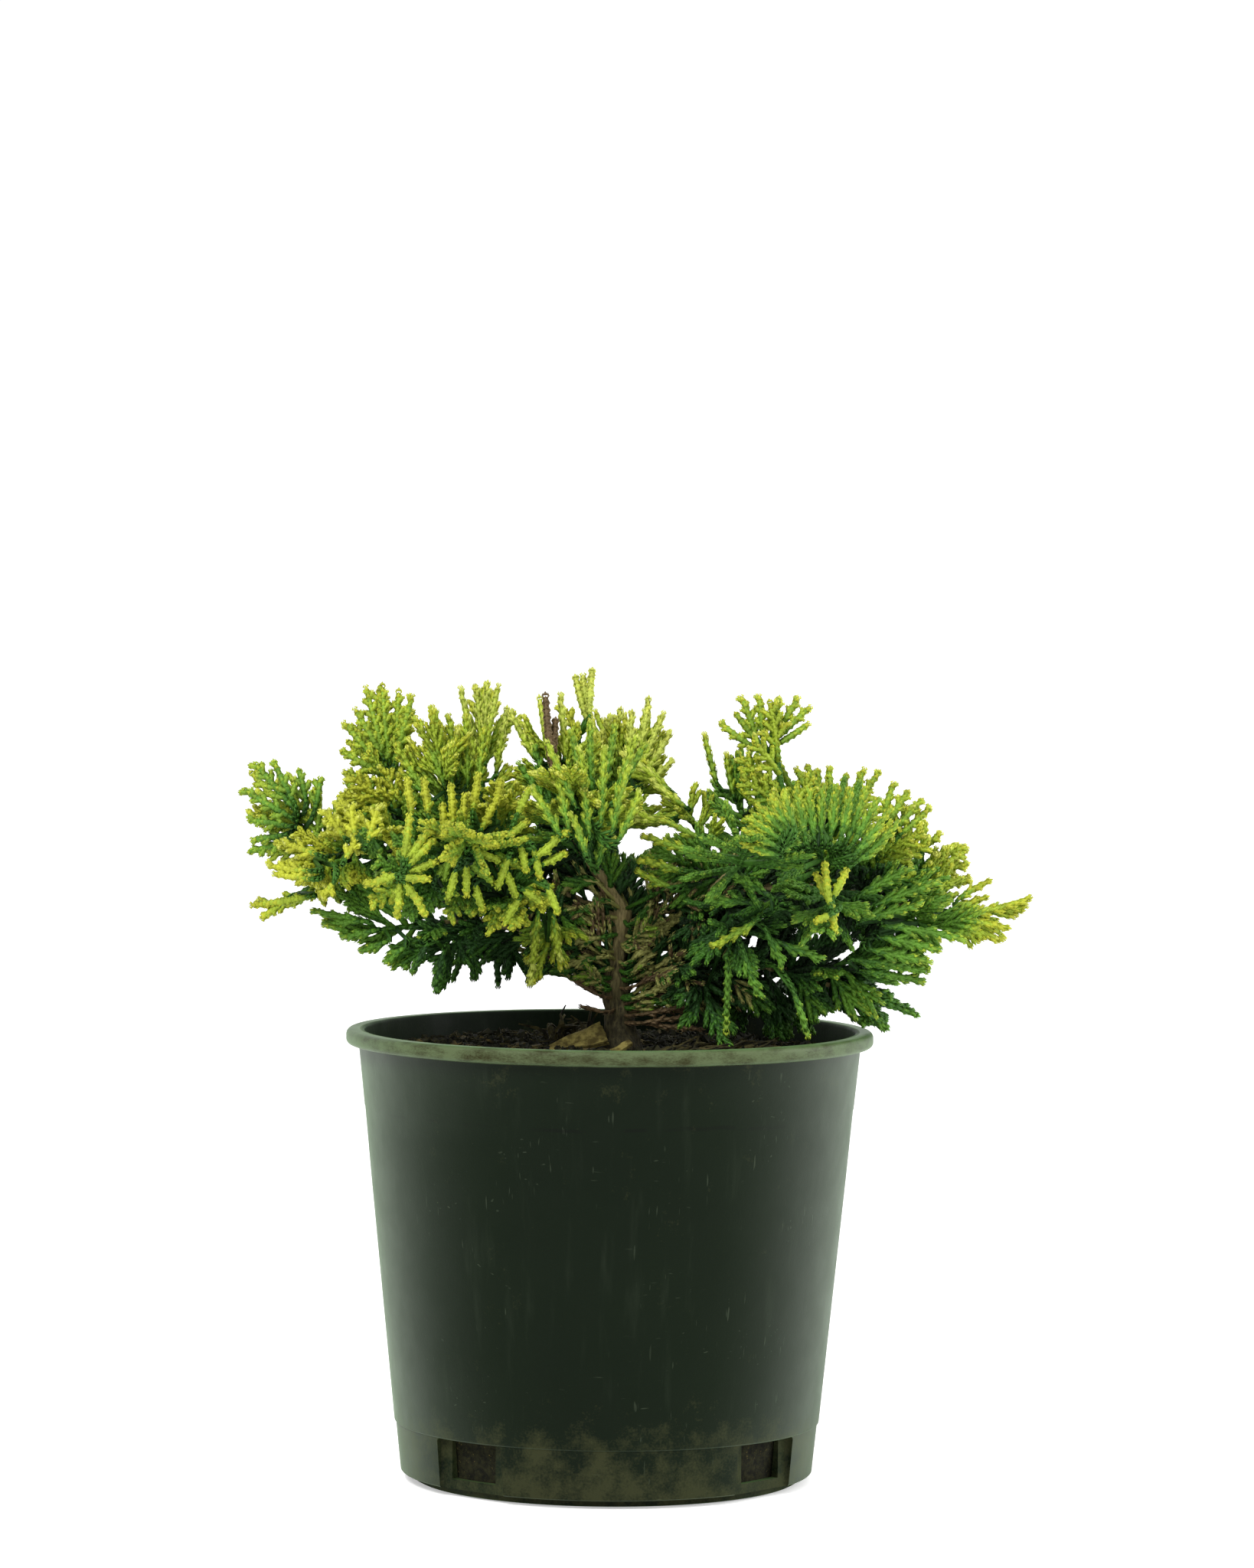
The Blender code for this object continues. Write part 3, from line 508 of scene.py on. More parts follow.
feed(tree, shader, Sheen_Weight=0.13, Sheen_Roughness=0.45, Sheen_Tint=(0.50, 1.0, 0.34))
finished(pot, pot_plastic, ["pot"])

# %% [markdown]
# ## The potting mix
# Peat and bark crumbs fill the pot to 7 mm below the rim. The body of it is a turned shape whose upper
# rings are then pushed up and down by noise. Loose crumbs, slivers of bark and fibres lie on top, as joined
# meshes of a few faces each, because there are far too many to model one by one.

# %% The body of the mix
SOIL_TOP = 0.155
GAP = 0.0003


def soil_height(x, y):
    """Height of the mix at a place: lumpy, and a little lower towards the wall."""
    out = math.hypot(x, y)
    fall = 0.0022 * max(0.0, (out - 0.070) / 0.018)
    spot = Vector((x, y, 0.0))
    return SOIL_TOP - 0.0004 - fall + 0.0013 * noise.noise(spot / 0.011) + 0.0007 * noise.noise(spot / 0.0035)


def inside_wall(height, wall):
    """Radius of the mix against the inside of the pot."""
    return wall_radius(height) - wall - GAP


soil_rings = [(0.0012, SOIL_TOP)]
soil_rings += [(0.0012 + 0.0866 * n / 54, SOIL_TOP) for n in range(1, 55)]
soil_rings += [(inside_wall(z, WALL), z) for z in (0.150, 0.120, 0.090, 0.060, 0.028)]
soil_rings += [(inside_wall(z, BAND_WALL), z) for z in (0.0225, 0.0170, 0.0120, 0.0080, 0.0048)]
soil = turned("potting_mix_body", soil_rings, 112)
for vertex in soil.data.vertices:
    x, y, z = vertex.co
    if z > 0.154:
        vertex.co.z = soil_height(x, y)
    elif 0.006 < z < 0.0226:
        vertex.co *= 1.0 + 0.010 * noise.noise(vertex.co / 0.003) - 0.006
        vertex.co.z = z
select_piece(soil)
smooth_below(60)
print("lowest of the mix in mm:", round(1000 * min(soil_height(x / 100, 0) for x in range(-8, 9)), 1))

# %% [markdown]
# ### Looks of the mix
# Moist peat is nearly black and crumbly, with pale flecks of wood. Chips, crumbs, slivers and fibres are
# smaller, so a plainer kind of finish is enough for them. Each kind wavers between two shades of its own.

# %% Finishes of the mix
soil_finish, tree, shader = new_finish("potting_mix")
plain = place_on(tree)
crumbs_noise = speckle(tree, plain, 0.0022, 6.0, 0.7)
tint = colour_mix(tree, spread_to(tree, crumbs_noise, 0.35, 0.65), linear(10, 11, 4), linear(36, 36, 17))
flecks = spread_to(tree, speckle(tree, plain, 0.0013, 2.0), 0.66, 0.72)
tint = colour_mix(tree, times(tree, flecks, 0.6), tint, linear(92, 82, 42))
bump = add_node(tree, "ShaderNodeBump", Strength=0.8, Distance=0.0010, Height=crumbs_noise)
feed(tree, shader, Base_Color=tint, Roughness=0.92, Normal=bump, Specular_IOR_Level=0.2)
finished(soil, soil_finish, ["potting_mix"])


def plain_finish(name, dark, light, size, roughness):
    """A finish that wavers between two shades at one size, with a bump of the same pattern."""
    finish, tree, shader = new_finish(name)
    pattern = speckle(tree, place_on(tree), size, 4.0, 0.6)
    tint = colour_mix(tree, spread_to(tree, pattern, 0.35, 0.65), linear(*dark), linear(*light))
    bump = add_node(tree, "ShaderNodeBump", Strength=0.5, Distance=0.0003, Height=pattern)
    feed(tree, shader, Base_Color=tint, Roughness=roughness, Normal=bump, Specular_IOR_Level=0.3)
    return finish


chip_finish = plain_finish("chip_wood", (76, 66, 28), (142, 130, 70), 0.003, 0.85)
crumb_finish = plain_finish("crumbs", (11, 12, 5), (40, 39, 19), 0.003, 0.95)
sliver_finish = plain_finish("bark_slivers", (34, 29, 12), (92, 80, 42), 0.003, 0.9)
fibre_finish = plain_finish("fibres", (24, 22, 10), (72, 66, 32), 0.004, 0.9)
print("finishes:", len(bpy.data.materials))

# %% [markdown]
# ### Crumbs, slivers and fibres
# A heap gathers many small closed shapes and joins them into one mesh. A crumb is an octahedron pulled out
# of true, a sliver is a flat split block, and a fibre is a thin rod in several bends.

# %% Heaps and small shapes
def new_piece(name, points, faces):
    """An object from arrays of points and faces."""
    mesh = bpy.data.meshes.new(name)
    mesh.from_pydata(points.tolist(), [], faces.tolist())
    piece = bpy.data.objects.new(name, mesh)
    bpy.context.scene.collection.objects.link(piece)
    return piece


class Heap:
    """Small closed shapes, gathered as points and faces, that become one mesh."""

    def __init__(self, name):
        self.name = name
        self.points = []
        self.faces = []
        self.count = 0

    def add(self, points, faces):
        """Adds one shape."""
        self.points.append(np.asarray(points, dtype=float))
        self.faces.append(np.asarray(faces, dtype=int) + self.count)
        self.count += len(points)

    def piece(self):
        """The object that holds every shape."""
        return new_piece(self.name, np.vstack(self.points), np.vstack(self.faces))


OCTAHEDRON = [(1, 0, 0), (0, 1, 0), (-1, 0, 0), (0, -1, 0), (0, 0, 1), (0, 0, -1)]
OCTAHEDRON_FACES = [(0, 1, 4), (1, 2, 4), (2, 3, 4), (3, 0, 4), (1, 0, 5), (2, 1, 5), (3, 2, 5), (0, 3, 5)]
BLOCK = [(-1, -1, -1), (1, -1, -1), (1, 1, -1), (-1, 1, -1), (-1, -1, 1), (1, -1, 1), (1, 1, 1), (-1, 1, 1)]
BLOCK_FACES = [
    (0, 2, 1), (0, 3, 2), (4, 5, 6), (4, 6, 7), (0, 1, 5), (0, 5, 4),
    (1, 2, 6), (1, 6, 5), (2, 3, 7), (2, 7, 6), (3, 0, 4), (3, 4, 7),
]


def rod_shape(path, radii, sides):
    """A closed tube along a path, in triangles."""
    rings = []
    guide = np.array((0.31, 0.17, 0.93))
    for n, (point, radius) in enumerate(zip(path, radii)):
        ahead = np.subtract(path[min(n + 1, len(path) - 1)], path[max(n - 1, 0)])
        ahead = ahead / np.linalg.norm(ahead)
        across = np.cross(ahead, guide)
        across /= np.linalg.norm(across)
        up = np.cross(ahead, across)
        turns = 2 * math.pi * np.arange(sides) / sides
        circle = np.outer(np.cos(turns), across) + np.outer(np.sin(turns), up)
        rings.append(np.asarray(point) + radius * circle)
    points = np.vstack([*rings, [path[0]], [path[-1]]])
    foot, tip = len(points) - 2, len(points) - 1
    faces = []
    for ring in range(len(path) - 1):
        for n in range(sides):
            a, b = ring * sides + n, ring * sides + (n + 1) % sides
            faces += [(a, b, b + sides), (a, b + sides, a + sides)]
    last = (len(path) - 1) * sides
    faces += [(foot, (n + 1) % sides, n) for n in range(sides)]
    faces += [(tip, last + n, last + (n + 1) % sides) for n in range(sides)]
    return points, faces


def turn_matrix(draw):
    """A random turn in space, as a matrix."""
    spin = Quaternion([draw.gauss(0, 1) for _ in range(4)]).normalized()
    return np.array(spin.to_matrix())


def spot_on_mix(draw, reach=0.084):
    """A random spot on the mix, even over its area."""
    out = reach * math.sqrt(draw.random())
    bearing = draw.uniform(0, 2 * math.pi)
    return out * math.cos(bearing), out * math.sin(bearing)


print("small shapes ready")

# %% [markdown]
# ### What lies on the mix
# A nursery mix is never even: crumbs and slivers lie all over it. Each is one of the small shapes, sized
# and turned at random. The draws come from a named seed, so that every run gives the same litter. Most
# fibres lie flat. Behind the trunk on the left a tuft of them stands up, and on the right some dead twigs
# run outwards and rise from the mix.

# %% Small things on the mix
CRUMBS = 3600
SLIVERS = 230
FIBRES = 150
TUFT = 26
DEAD_TWIGS = 26
draw = random.Random("mix")
crumb_heap = Heap("crumbs_of_mix")
for _ in range(CRUMBS):
    x, y = spot_on_mix(draw)
    size = draw.uniform(0.0005, 0.0017) * (1.6 if draw.random() < 0.06 else 1.0)
    shape = np.array(OCTAHEDRON) * [size * draw.uniform(0.6, 1.2) for _ in range(3)]
    shape += np.array([[draw.uniform(-0.3, 0.3) * size for _ in range(3)] for _ in range(6)])
    crumb_heap.add(shape @ turn_matrix(draw).T + (x, y, soil_height(x, y) + 0.35 * size), OCTAHEDRON_FACES)
finished(crumb_heap.piece(), crumb_finish)

sliver_heap = Heap("bark_slivers_on_mix")
for _ in range(SLIVERS):
    x, y = spot_on_mix(draw)
    length = draw.uniform(0.0016, 0.0052) * (1.7 if x < -0.02 and draw.random() < 0.3 else 1.0)
    half_sizes = (length / 2, length * draw.uniform(0.12, 0.28), draw.uniform(0.0002, 0.0005))
    shape = np.array(BLOCK, dtype=float) * half_sizes
    shape[:, 1] *= np.where(shape[:, 0] > 0, draw.uniform(0.3, 1.0), 1.0)
    tip = Quaternion((draw.uniform(-1, 1), draw.uniform(-1, 1), 0), draw.uniform(0, 0.6)).to_matrix()
    turn = np.array(Quaternion((0, 0, 1), draw.uniform(0, 6.3)).to_matrix() @ tip)
    sliver_heap.add(shape @ turn.T + (x, y, soil_height(x, y) + 0.0008), BLOCK_FACES)
finished(sliver_heap.piece(), sliver_finish)

fibre_heap = Heap("fibres_on_mix")
for _ in range(FIBRES):
    x, y = spot_on_mix(draw, 0.080)
    heading = draw.uniform(0, 6.3)
    step = draw.uniform(0.0016, 0.0040)
    path = []
    for n in range(5):
        path.append((x, y, soil_height(x, y) + draw.uniform(0.0004, 0.0022)))
        x += step * math.cos(heading)
        y += step * math.sin(heading)
        heading += draw.uniform(-0.7, 0.7)
    fibre_heap.add(*rod_shape(path, [0.00022] * 5, 3))
for _ in range(TUFT):
    x, y = draw.uniform(-0.024, -0.009), draw.uniform(0.016, 0.034)
    z = soil_height(x, y)
    path = [(x, y, z)]
    lean = Vector((draw.uniform(-0.5, 0.5), draw.uniform(-0.4, 0.4), 1.0))
    rise = draw.uniform(0.0020, 0.0042)
    for n in range(4):
        path.append(tuple(Vector(path[-1]) + lean * rise))
        sway = Vector((draw.uniform(-0.6, 0.6), draw.uniform(-0.6, 0.6), draw.uniform(-0.9, 0.1)))
        lean = (lean + sway).normalized()
    fibre_heap.add(*rod_shape(path, (0.0009, 0.0008, 0.0007, 0.0005, 0.0003), 3))
for _ in range(DEAD_TWIGS):
    x, y = draw.uniform(0.008, 0.042), draw.uniform(-0.050, 0.010)
    heading = draw.uniform(-0.5, 0.9)
    path = [(x, y, soil_height(x, y))]
    for n in range(5):
        x, y = x + 0.0045 * math.cos(heading), y + 0.0045 * math.sin(heading)
        heading += draw.uniform(-0.5, 0.5)
        path.append((x, y, soil_height(x, y) + 0.0012 * n + draw.uniform(0.0, 0.0015)))
    fibre_heap.add(*rod_shape(path, (0.0007, 0.0006, 0.0005, 0.0004, 0.0004, 0.0003), 4))
finished(fibre_heap.piece(), fibre_finish)

# %% [markdown]
# ### Bark chips
# One large tan flake leans beside the trunk on the left, with a smaller one on its right. Each is a cube
# that is drawn to a point, split by extra edges and roughened, and then bevelled, so that it looks torn and
# not sawn.

# %% Bark chips
def bark_flake(name, place, size, bearing, pitch, tilt, point, seed):
    """A split flake of bark."""
    start_clean()
    bpy.ops.mesh.primitive_cube_add(size=1.0)
    flake = named(name)
    edit_all()
    bpy.ops.mesh.subdivide(number_cuts=7)
    bpy.ops.object.mode_set(mode="OBJECT")
    for vertex in flake.data.vertices:
        along = vertex.co.x + 0.5
        rough = noise.noise(Vector((3 * vertex.co.x, 9 * vertex.co.y, seed)))
        vertex.co.y *= (1 - along) + point * along + 0.18 * rough
        vertex.co.z *= 1 - 0.35 * along
        vertex.co.z += 0.35 * noise.noise(Vector((2 * vertex.co.x, 6 * vertex.co.y, seed + 5)))
        vertex.co.x += 0.06 * noise.noise(Vector((seed, 8 * vertex.co.y, 3 * vertex.co.z)))
    turn = Quaternion((0, 0, 1), math.radians(bearing)) @ Quaternion((0, 1, 0), math.radians(pitch))
    turn = turn @ Quaternion((1, 0, 0), math.radians(tilt))
    for vertex in flake.data.vertices:
        vertex.co = turn @ Vector([x * side for x, side in zip(vertex.co, size)]) + Vector(place)
    apply_modifier(flake, "BEVEL", width=0.0002, segments=1, angle_limit=math.radians(50))
    smooth_below(40)
    return flake


large_place, large_size = (-0.0118, -0.006, 0.1578), (0.0205, 0.0110, 0.0026)
large_flake = bark_flake("bark_flake_large", large_place, large_size, 188, 15, -40, 0.22, 1.3)
finished(large_flake, chip_finish, ["bark_chip"])
small_place, small_size = (0.0042, -0.016, 0.1566), (0.0085, 0.0034, 0.0018)
small_flake = bark_flake("bark_flake_small", small_place, small_size, 22, -28, 30, 0.7, 4.1)
finished(small_flake, chip_finish)

# %% [markdown]
# ## Trunk and boughs
# The limbs repeat the rule of the solids: a limb grows from its parent at a station, through its route, and
# tapers. Here it starts on the parent's own centre line, so that the wood runs together, and its mesh is
# fine enough for bark.

# %% The table of limbs
Limb = namedtuple("Limb", "name parent station route foot_radius tip_radius")
TRUNK_ROUTE = (
    (0.0042, 0.0, 0.1500), (0.0042, 0.0, 0.1572), (0.0036, 0.0002, 0.161), (0.0029, 0.0004, 0.169),
    (0.0019, 0.0005, 0.179), (0.0022, 0.0003, 0.188), (0.0036, 0.0, 0.197), (0.0043, 0.0, 0.205),
)
TRUNK_RADII = (0.0086, 0.0066, 0.0055, 0.0047, 0.0039, 0.0033, 0.0030, 0.0027)
LIMBS = (
    Limb("bough_leader", "trunk", 1.0,
         ((-0.006, -0.001, 0.220), (-0.013, -0.003, 0.230), (-0.016, -0.004, 0.238)), 0.0021, 0.0012),
    Limb("bough_centre", "trunk", 0.97, ((-0.001, 0.012, 0.217), (-0.003, 0.016, 0.229)), 0.0014, 0.0009),
    Limb("bough_back", "trunk", 0.92, ((0.003, 0.018, 0.213), (0.001, 0.034, 0.220)), 0.0014, 0.0009),
    Limb("bough_left", "trunk", 0.93,
         ((-0.014, 0.002, 0.209), (-0.036, 0.003, 0.217), (-0.058, 0.002, 0.223), (-0.080, 0.0, 0.225),
          (-0.101, -0.001, 0.222)), 0.0019, 0.0007),
    Limb("bough_left_low", "trunk", 0.68,
         ((-0.016, -0.004, 0.192), (-0.037, -0.006, 0.199), (-0.057, -0.008, 0.201)), 0.0015, 0.0008),
    Limb("bough_left_back", "bough_left", 0.30,
         ((-0.033, 0.020, 0.219), (-0.043, 0.034, 0.222)), 0.0012, 0.0008),
    Limb("bough_left_front", "bough_left", 0.36,
         ((-0.040, -0.018, 0.221), (-0.045, -0.034, 0.224)), 0.0012, 0.0008),
    Limb("bough_right", "trunk", 0.86,
         ((0.015, -0.002, 0.204), (0.032, -0.003, 0.209), (0.052, -0.003, 0.213), (0.072, -0.004, 0.214),
          (0.088, -0.004, 0.212), (0.103, -0.004, 0.208)), 0.0018, 0.0007),
    Limb("bough_right_low", "trunk", 0.58,
         ((0.016, -0.004, 0.184), (0.037, -0.008, 0.187), (0.058, -0.010, 0.185), (0.077, -0.011, 0.180)),
         0.0014, 0.0008),
    Limb("bough_right_back", "bough_right", 0.28,
         ((0.040, 0.018, 0.214), (0.051, 0.034, 0.218)), 0.0012, 0.0008),
    Limb("bough_right_front", "bough_right", 0.34,
         ((0.040, -0.020, 0.218), (0.044, -0.034, 0.221)), 0.0012, 0.0008),
)
print("boughs:", [limb.name for limb in LIMBS])

# %% [markdown]
# ### Centre lines
# A limb bends gently from fork to fork. Each one gets a smooth centre line through its route, and a radius
# at each of its points. A station on it says where something grows: 0 is its foot and 1 its tip.

# %% The rule for limbs
def smooth_path(points, per_span):
    """Points along a Catmull-Rom curve through the given ones."""
    ends = [2 * points[0] - points[1], *points, 2 * points[-1] - points[-2]]
    path = []
    for a, b, c, d in zip(ends, ends[1:], ends[2:], ends[3:]):
        for step in range(per_span):
            t = step / per_span
            square = (2 * a - 5 * b + 4 * c - d) * t**2
            cube = (3 * b - a - 3 * c + d) * t**3
            path.append(0.5 * (2 * b + (c - a) * t + square + cube))
    return [*path, points[-1]]


class Line:
    """A limb or stem: the points of its centre line, and its radius at each."""

    def __init__(self, name, points, radii):
        self.name = name
        self.points = points
        self.radii = radii

    def at(self, station):
        """Centre, direction and radius at a station, 0 at the foot to 1 at the tip."""
        place = station * (len(self.points) - 1)
        span = min(int(place), len(self.points) - 2)
        part = place - span
        first, second = self.points[span], self.points[span + 1]
        radius = self.radii[span] + (self.radii[span + 1] - self.radii[span]) * part
        return first.lerp(second, part), (second - first).normalized(), radius


lines = {"trunk": Line("trunk", [Vector(point) for point in TRUNK_ROUTE], list(TRUNK_RADII))}
for limb in LIMBS:
    start = lines[limb.parent].at(limb.station)[0]
    points = smooth_path([start, *map(Vector, limb.route)], 2)
    radii = np.linspace(limb.foot_radius, limb.tip_radius, len(points)).tolist()
    lines[limb.name] = Line(limb.name, points, radii)
print("limbs:", len(lines))

# %% [markdown]
# ### Wood
# A curve with a round bevel is the limb, and converting it gives a tube. Its points are then moved in and
# out by a noise that is stretched along the limb, which is how stringy bark lies, and by a few knots where
# twigs have dropped. The tubes are joined into one piece of wood.

# %% Bark relief
def limb_tube(line, spans, sides):
    """A limb as a closed tube of fine rings, from a poly curve with a round bevel."""
    start_clean()
    bpy.ops.curve.primitive_nurbs_path_add()
    obj = bpy.context.object
    curve = obj.data
    curve.splines.clear()
    fine = smooth_path(line.points, spans)
    spline = curve.splines.new("POLY")
    spline.points.add(len(fine) - 1)
    for n, (control, point) in enumerate(zip(spline.points, fine)):
        place = n / (len(fine) - 1) * (len(line.radii) - 1)
        control.co = (*point, 1.0)
        control.radius = float(np.interp(place, range(len(line.radii)), line.radii))
    curve.bevel_depth = 1.0
    curve.bevel_resolution = sides // 2 - 2
    curve.use_fill_caps = True
    bpy.ops.object.convert(target="MESH")
    bpy.ops.object.mode_set(mode="EDIT")
    close_up(0.000001)
    return named(line.name + "_wood")


def roughen(tube, line, share):
    """Moves the skin of a limb in and out along its normals, in ridges along the limb."""
    along = (line.points[-1] - line.points[0]).normalized()
    normals = [vertex.normal.copy() for vertex in tube.data.vertices]
    for vertex, normal in zip(tube.data.vertices, normals):
        run = vertex.co.dot(along)
        spot = (vertex.co - along * run) / 0.0013 + along * run / 0.0085
        ridge = 1 - 2 * abs(noise.noise(spot))
        knot = noise.noise(vertex.co / 0.0045)
        vertex.co += normal * line.at(0.5)[2] * share * (0.55 * ridge + 0.9 * knot)


RELIEF = 0.30
tubes = []
for name, line in lines.items():
    spans, sides = (9, 30) if name == "trunk" else (6, 14)
    tube = limb_tube(line, spans, sides)
    roughen(tube, line, RELIEF)
    tubes.append(tube)
start_clean()
for tube in tubes:
    tube.select_set(True)
bpy.context.view_layer.objects.active = tubes[0]
bpy.ops.object.join()
wood = named("trunk_and_boughs")
settle()
smooth_below(70)
print("wood faces:", len(wood.data.polygons))

# %% [markdown]
# ### Bark
# The bark is stringy and grey-brown, with olive patches. It is darker towards the foot, a painted shade
# under the crown, and high up pale strings show, partly grey fibres and partly a painted highlight up
# towards the fork. All of it is noise on the piece's own coordinates, stretched upwards, so nothing has to
# be unwrapped.

# %% Bark finish
bark, tree, shader = new_finish("bark")
plain = place_on(tree)
height = height_at(tree, plain)
strings = speckle(tree, place_on(tree, (1.0, 1.0, 0.16)), 0.0009, 5.0, 0.65)
tint = colour_mix(tree, spread_to(tree, strings, 0.32, 0.68), linear(38, 34, 21), linear(134, 124, 82))
patches = spread_to(tree, speckle(tree, plain, 0.007, 3.0), 0.42, 0.62)
tint = colour_mix(tree, times(tree, patches, 0.45), tint, linear(84, 78, 44))
# Painted shade: the trunk is darkened towards its foot, where the crown shades it.
foot = spread_to(tree, height, 0.190, 0.158, 0.0, 0.76)
tint = colour_mix(tree, foot, tint, linear(28, 26, 17))
# Partly grey fibres and partly a painted highlight: the strings turn pale up towards the fork.
fibres_and_highlight_up_high = spread_to(tree, height, 0.184, 0.208, 0.0, 0.7)
tint = colour_mix(tree, times(tree, fibres_and_highlight_up_high, strings), tint, linear(200, 180, 124))
bump = add_node(tree, "ShaderNodeBump", Strength=0.9, Distance=0.0006, Height=strings)
feed(tree, shader, Base_Color=tint, Roughness=0.86, Normal=bump, Specular_IOR_Level=0.25)
finished(wood, bark, list(lines))

# %% [markdown]
# ## Where the foliage grows
# Each mass of the solids is a fan: a stem that arches from its limb to its furthest tip, inside an
# ellipsoid of room. The same table and the same rule place it here, with twigs about as close together, and
# each twig then carries shoots of its own. The table is in millimetres. The looks of a mass are its tone,
# from gold to deep green, and its habit: fingers are short, thick and blunt, plumes are long and pointed, a
# dome's shoots are long and close, and tassels hang as loose braids.

# %% The table of masses
FRONT = (0.0, -1.0, 0.15)
LEFT = (-0.5, -1.0, 0.3)
RIGHT = (0.5, -1.0, 0.3)
SHELF = (0.0, -0.55, 1.0)
SHELF_L = (-0.6, -0.3, 1.0)
SHELF_R = (0.6, -0.3, 1.0)
REAR = (0.0, 0.5, 1.0)
Mass = namedtuple("Mass", "name limb station tip spread depth looks arch tone habit")
MASSES = [Mass(*row) for row in (
    ("left_fan", "bough_left", 0.97, (-131, 8, 254), 20, 14, FRONT, -2, "lime", "finger"),
    ("left_low_sprig", "bough_left", 0.92, (-130.5, -14, 203.5), 9, 9, FRONT, -3, "lime", "finger"),
    ("left_tier_low", "bough_left", 0.86, (-120, -40, 220), 15, 13, LEFT, 2, "gold", "finger"),
    ("left_tier_mid", "bough_left", 0.73, (-100, -50, 238), 15, 13, LEFT, 2, "gold", "finger"),
    ("left_tier_high", "bough_left", 0.65, (-96, -14, 254), 14, 13, FRONT, 4, "gold", "finger"),
    ("left_crest", "bough_left", 0.79, (-85, 20, 283), 16, 14, FRONT, 0, "lime", "finger"),
    ("left_slope", "bough_left", 0.57, (-65, -18, 277), 12, 14, FRONT, 0, "lime", "plume"),
    ("left_brush", "bough_left", 0.5, (-47, 26, 284), 14, 15, FRONT, 0, "lime", "plume"),
    ("left_mid", "bough_left", 0.43, (-41, -36, 252), 14, 14, FRONT, 0, "gold", "finger"),
    ("left_star", "bough_left_front", 0.66, (-84, -64, 211), 18, 14, FRONT, 4, "knob", "finger"),
    ("left_front_low", "bough_left_front", 0.5, (-34, -62, 202), 17, 14, SHELF, 2, "knob", "finger"),
    ("left_front_fan", "bough_left_front", 1.0, (-54, -88, 240), 20, 14, SHELF, 0, "knob", "finger"),
    ("left_under", "bough_left_low", 1.0, (-104, -26, 196), 18, 16, FRONT, 0, "green", "plume"),
    ("left_drop", "bough_left_low", 0.88, (-68, -30, 175), 16, 14, FRONT, 0, "deep", "plume"),
    ("left_drop_inner", "bough_left_low", 0.62, (-50, 22, 175), 15, 14, FRONT, 0, "deep", "plume"),
    ("left_tassel", "bough_left", 0.2, (-28.5, -36, 177), 9, 10, FRONT, 4, "lime", "tassel"),
    ("trunk_left", "trunk", 0.46, (-30, 18, 188), 12, 14, FRONT, 0, "olive", "plume"),
    ("crown_left", "bough_leader", 1.0, (-22, -16, 280), 14, 14, FRONT, 0, "lime", "plume"),
    ("crown_spire", "bough_leader", 0.8, (-10.5, -2, 290.4), 7, 9, FRONT, 0, "gold", "finger"),
    ("crown_mid", "bough_back", 0.6, (-4, 34, 276), 17, 14, FRONT, 0, "lime", "plume"),
    ("crown_right", "bough_centre", 1.0, (16, 4, 278), 15, 14, FRONT, 0, "lime", "plume"),
    ("crown_front", "bough_leader", 0.6, (-14, -66, 258), 20, 14, SHELF, 0, "lime", "plume"),
    ("crown_back", "bough_back", 1.0, (-2, 92, 256), 24, 16, REAR, 0, "lime", "plume"),
    ("bridge_high", "bough_right", 0.42, (7, -10, 257), 9, 12, FRONT, 10, "lime", "plume"),
    ("bridge_low", "bough_right", 0.47, (11, -24, 230), 11, 12, FRONT, 0, "green", "plume"),
    ("right_spears", "bough_right", 0.54, (37, 18, 267), 12, 14, FRONT, 0, "green", "plume"),
    ("right_plume", "bough_right", 0.62, (56, -12, 281), 16, 13, FRONT, 0, "lime", "finger"),
    ("right_dome", "bough_right", 0.7, (73, -52, 249), 27, 14, RIGHT, 2, "shade", "dome"),
    ("right_crest", "bough_right", 0.77, (78, 30, 255), 21, 15, FRONT, 0, "lime", "finger"),
    ("right_shoulder", "bough_right", 0.85, (108, -16, 247), 16, 15, FRONT, 0, "lime", "finger"),
    ("right_flank", "bough_right", 0.93, (129, 18, 226), 14, 15, FRONT, 0, "lime", "finger"),
    ("right_reach", "bough_right", 1.0, (152.5, -6, 207), 12, 14, FRONT, -2, "lime", "plume"),
    ("right_skirt", "bough_right", 0.88, (130, -38, 193), 16, 14, FRONT, 0, "green", "plume"),
    ("right_fringe", "bough_right_low", 0.78, (112, -34, 182), 14, 14, FRONT, 3, "green", "plume"),
    ("right_trail", "bough_right_low", 1.0, (110, 10, 168), 13, 14, FRONT, 0, "deep", "plume"),
    ("right_sprig", "bough_right", 0.74, (76, -64, 201), 15, 13, FRONT, 4, "shade", "plume"),
    ("right_inner", "bough_right", 0.4, (48, -44, 188), 18, 14, FRONT, 2, "deep", "plume"),
    ("right_drop", "bough_right_low", 0.42, (41, -30, 160), 12, 12, FRONT, 0, "deep", "tassel"),
    ("right_under", "bough_right_low", 0.62, (74, 14, 164), 17, 15, FRONT, 0, "deep", "plume"),
    ("trunk_right", "trunk", 0.7, (31, 20, 196), 15, 14, FRONT, -2, "olive", "plume"),
    ("left_back_crest", "bough_left_back", 1.0, (-60, 82, 254), 23, 16, REAR, 0, "lime", "finger"),
    ("left_back_shelf", "bough_left_back", 0.66, (-98, 50, 216), 22, 16, SHELF_L, 0, "green", "plume"),
    ("right_back_crest", "bough_right_back", 1.0, (68, 82, 248), 23, 16, REAR, 0, "green", "finger"),
    ("right_back_shelf", "bough_right_back", 0.62, (104, 48, 214), 22, 16, SHELF_R, 0, "green", "plume"),
    ("right_front_fan", "bough_right_front", 1.0, (48, -90, 236), 21, 14, SHELF, 0, "shade", "plume"),
)]
MASS_NAMES = [mass.name for mass in MASSES]
print("masses:", len(MASSES))

# %% [markdown]
# ### Room for a mass
# A fan works out its axes, its arch and its ellipsoid from a row of the table, and says how far a twig can
# run in it. This is the rule of the solids, so the sprays fill the same room.

# %% The rule for a mass
ROOM_SHARE = 0.54
FIRST_TWIG = 0.08


